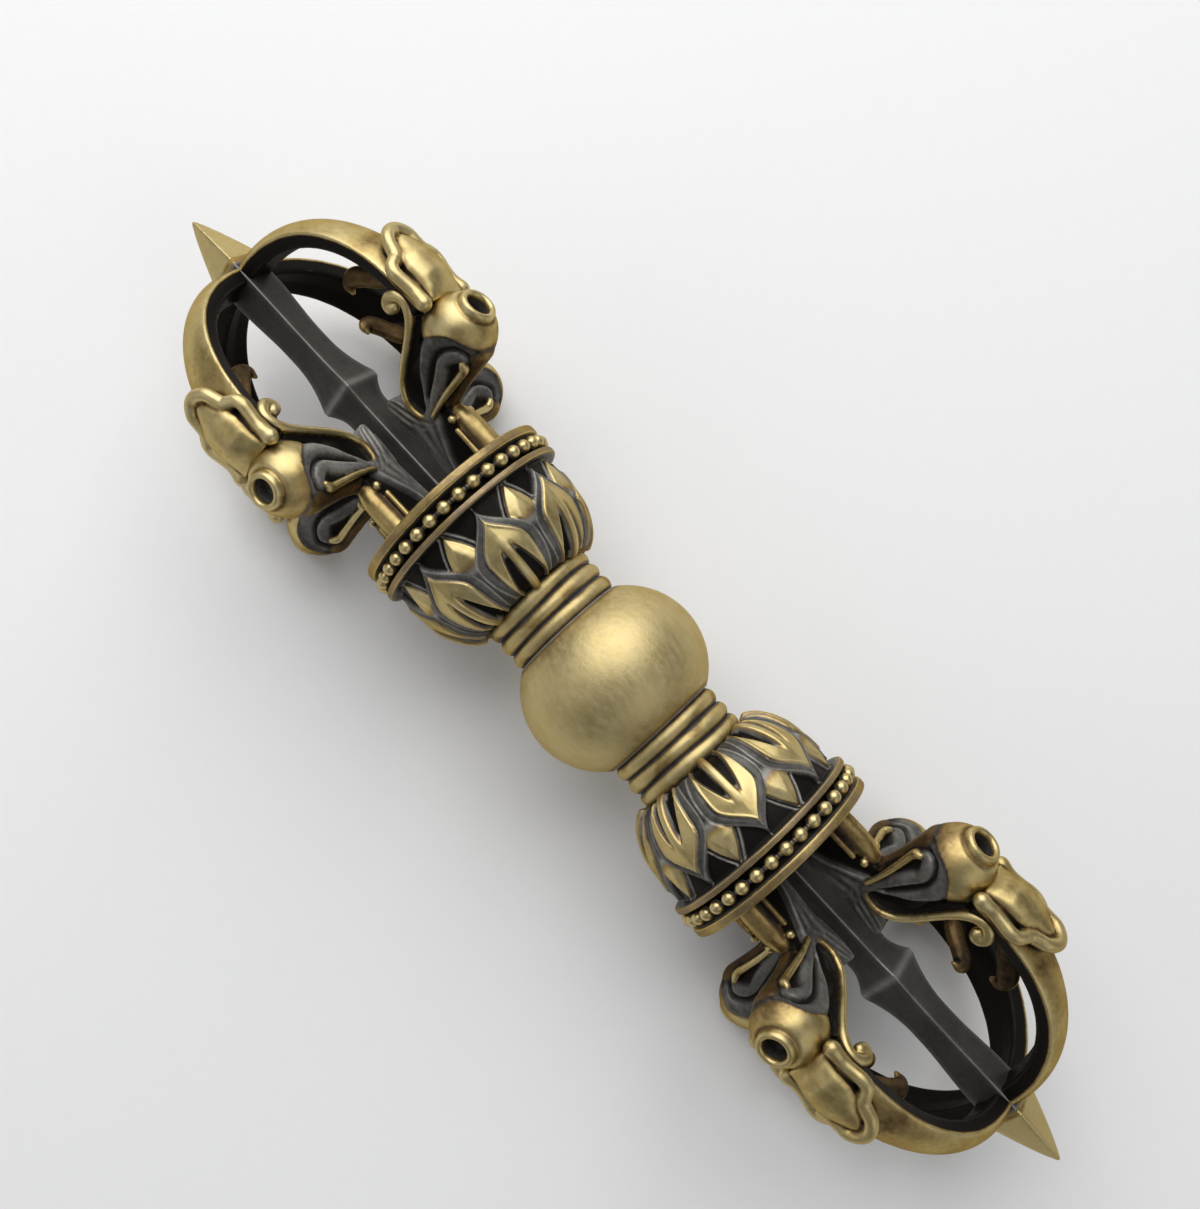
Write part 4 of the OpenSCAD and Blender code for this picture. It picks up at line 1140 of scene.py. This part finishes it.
def prong_casting(rope):
    """One outer prong: arched strap, lip plate in its rope frame, and spur."""
    strap, outer_sheet, rest_sheet, edges = strap_forms()
    # The frame's rope runs up both sides to square shoulders, steps in and closes round a lobe off the strap
    half_track = [(51.3, 4.3, 0.0), (53.2, 4.05, 0.0), (54.9, 4.3, 0.05), (56.4, 4.65, 0.2),
                  (57.4, 4.45, 0.4), (58.0, 3.6, 0.75), (58.4, 2.85, 1.0), (59.4, 2.5, 1.35),
                  (60.5, 2.15, 1.8), (61.3, 1.15, 2.1), (61.6, 0.0, 2.2)]
    track = smooth_path(half_track + [(x, -y, lift) for x, y, lift in half_track[-2::-1]], 6)
    swollen = rope * (1 + 0.2 * mound(track[:, 0], 51.3, 0.9))
    frame_rope = tube(on_strap(*track.T), swollen, 18)

    def slab(stations, half_widths, top):
        """A plate let into the strap, from its half-widths and heights, and its upper face as a sheet."""
        columns, sunk = 21, -1.4
        side = np.linspace(-1, 1, columns)
        rings, sheet = [], []
        for x, half in zip(stations, half_widths):
            upper = on_strap(np.full(columns, x), side * half, top(x, side))
            lower = on_strap(np.full(columns, x), side[::-1] * half, np.full(columns, sunk))
            rings.append(np.vstack([upper, lower])[::-1])
            sheet.append(upper)
        return loft(rings), (np.vstack(sheet), grid_faces(len(sheet), columns, wrap=False))

    def brow(x):
        """Height of the leaf's edge."""
        return np.interp(x, [50.9, 55, 60.4], [0.7, 1.15, 1.7])

    def leaf_top(x, side):
        crest = np.interp(x, [50.9, 52.2, 54, 57, 60.4], [0.9, 2.0, 2.75, 2.9, 2.5])
        return brow(x) + (crest - brow(x)) * (1 - side ** 2) ** 0.6

    panel_x = np.linspace(50.9, 60.4, 40)
    panel_half = np.interp(panel_x, [50.9, 52, 53.5, 56, 57.3, 58.3, 59.2, 59.8, 60.2, 60.4],
                           [3.3, 3.2, 3.25, 3.4, 3.05, 2.25, 1.8, 1.4, 0.9, 0.3])
    panel, panel_top = slab(panel_x, panel_half, leaf_top)
    drop = np.array([brow(panel_x) - 0.12, np.full(len(panel_x), -1.0)])
    walls = on_strap(panel_x[:, None], panel_half[:, None] + 0.02, drop.T)
    panel_walls = both_flanks((walls.reshape(-1, 3), grid_faces(len(panel_x), 2, wrap=False)))
    half_side = track[:len(track) // 2 + 1]
    floor_x = np.linspace(51.2, 61.5, 40)
    floor_half = np.interp(floor_x, [51.2, 53.2, 56.4, 57.3, 57.9, 58.4, 59.4, 60.5, 61.5],
                           [4.0, 4.0, 4.5, 4.3, 3.5, 2.7, 2.35, 1.95, 0.6])
    floor_lift = np.interp(floor_x, half_side[:, 0], half_side[:, 2]) - 0.45
    floor = slab(floor_x, floor_half, lambda x, side: np.interp(x, floor_x, floor_lift) + 0 * side)[0]
    # The spur is a flattened horn that bends towards the tip and hooks back to a point
    spur_path = smooth_path([(59.1, 0, 19.6), (59.7, 0, 17.9), (60.7, 0, 16.5), (61.9, 0, 15.4),
                             (62.8, 0, 14.3), (63.0, 0, 13.3), (62.7, 0, 12.6), (61.9, 0, 12.3)], 6)
    along = np.linspace(0, 1, len(spur_path))
    spur_size = np.interp(along, [0, 0.3, 0.58, 0.72, 0.86, 1], [1.85, 1.5, 1.5, 1.3, 0.95, 0.42])
    spur = tube(spur_path, spur_size, 20)
    spur[0][:, 1] *= 0.75
    spur_along = np.gradient(spur_path, axis=0)
    spur_out = np.column_stack([-spur_along[:, 2], spur_along[:, 1], spur_along[:, 0]])
    spur_out /= np.linalg.norm(spur_out, axis=1)[:, None]
    spur_rim = tube((spur_path + spur_out * spur_size[:, None])[6:], 0.25, 8)
    near_edges, far_edges = (both_flanks(tube(edge, size, 8)) for edge, size in zip(edges, (0.28, 0.12)))
    solids = [strap, frame_rope, panel, floor, spur]
    finishes = [(outer_sheet, 0.78), (rest_sheet, 0.0), (frame_rope, 0.92), (panel_top, 0.76),
                (panel_walls, 0.0), (floor, 0.0), (spur, 0.33), (spur_rim, 0.8), (near_edges, 0.9),
                (far_edges, 0.3)]
    # Brown staining and painted shade on the strap just past the lip plate's lobe
    return casting("outer_prong", solids, finishes, voxel=0.2, relax=2,
                   browning_and_shade=lambda p: 0.26 * mound(p[:, 0], 63.4, 1.8))


class VAJRA_OT_prongs(bpy.types.Operator):
    """Arched outer prongs with lip plates and spurs"""
    bl_idname = "vajra.prongs"
    bl_label = "Outer Prongs"

    def execute(self, context):
        sizes = context.scene.vajra_sizes
        prong = prong_casting(sizes.lip_rope_radius / MM)
        set_round("arch", prong, "prong")
        return {"FINISHED"}


# Stage

def soft_box(name, place, size, power):
    """A rectangular light that faces the globe."""
    light = bpy.data.lights.new(name, "AREA")
    light.shape = "RECTANGLE"
    light.size, light.size_y = size
    light.energy = power
    obj = linked(name, light)
    obj.location = place
    obj.rotation_euler = (-Vector(place)).to_track_quat("-Z", "Y").to_euler()


class VAJRA_OT_stage(bpy.types.Operator):
    """Camera, soft lights and a pale floor"""
    bl_idname = "vajra.stage"
    bl_label = "Stage"

    def execute(self, context):
        scene = context.scene
        scene.view_settings.view_transform = "Standard"
        camera = bpy.data.cameras.new("photo_camera")
        camera.sensor_width = 36
        camera.lens = 43.87
        camera.clip_start = 0.01
        eye = linked("photo_camera", camera)
        eye.location = (0.00391, -0.01871, 0.20181)
        eye.rotation_euler = (math.radians(7.278), math.radians(-2.581), math.radians(47.195))
        scene.camera = eye

        low, half = cad_box[0][2], 1.5
        corners = [(-half, -half, low), (half, -half, low), (half, half, low), (-half, half, low)]
        mesh = bare_mesh("floor", corners, [(0, 1, 2, 3)])
        floor = linked("floor", mesh)
        paper, tree, shader = bare_material("pale_paper")
        pale = context.scene.vajra_colours.floor
        fibre = noise(tree, add(tree, "ShaderNodeTexCoord", {}, "Object"), 400, 3)
        plug(tree, shader, {"Base Color": blend_colours(tree, fibre, [0.98 * c for c in pale], pale),
                            "Roughness": 0.9, "Specular IOR Level": 0.1})
        mesh.materials.append(paper)

        world = bpy.data.worlds.new("studio")
        world.use_nodes = True
        background = next(n for n in world.node_tree.nodes if n.type == "BACKGROUND")
        plug(world.node_tree, background, {"Color": (0.95, 0.97, 1.0, 1), "Strength": 0.2})
        scene.world = world
        soft_box("key_light", (-0.32, 0.23, 0.42), (0.75, 0.75), 4.2)
        soft_box("side_light", (0.42, 0.05, 0.3), (0.5, 0.4), 0.35)
        soft_box("low_light", (-0.25, -0.42, 0.3), (0.5, 0.4), 0.3)
        return {"FINISHED"}


class VAJRA_PT_build(bpy.types.Panel):
    bl_label = "Vajra"
    bl_idname = "VAJRA_PT_build"
    bl_space_type = "VIEW_3D"
    bl_region_type = "UI"
    bl_category = "Vajra"

    def draw(self, context):
        for operator in OPERATORS:
            self.layout.operator(operator.bl_idname)
        for group in (context.scene.vajra_sizes, context.scene.vajra_colours):
            for label in group.__annotations__:
                self.layout.prop(group, label)


OPERATORS = (VAJRA_OT_stage, VAJRA_OT_globe, VAJRA_OT_collars, VAJRA_OT_bowls, VAJRA_OT_rims, VAJRA_OT_shafts,
             VAJRA_OT_heads, VAJRA_OT_prongs)
CLASSES = (VajraSizes, VajraColours, *OPERATORS, VAJRA_PT_build)


def register():
    for cls in CLASSES:
        bpy.utils.register_class(cls)
    bpy.types.Scene.vajra_sizes = PointerProperty(type=VajraSizes)
    bpy.types.Scene.vajra_colours = PointerProperty(type=VajraColours)


def unregister():
    del bpy.types.Scene.vajra_colours
    del bpy.types.Scene.vajra_sizes
    for cls in reversed(CLASSES):
        bpy.utils.unregister_class(cls)


def main():
    register()
    bpy.ops.vajra.stage()
    bpy.ops.vajra.globe()
    bpy.ops.vajra.collars()
    bpy.ops.vajra.bowls()
    bpy.ops.vajra.rims()
    bpy.ops.vajra.shafts()
    bpy.ops.vajra.heads()
    bpy.ops.vajra.prongs()


if __name__ == "__main__":
    main()
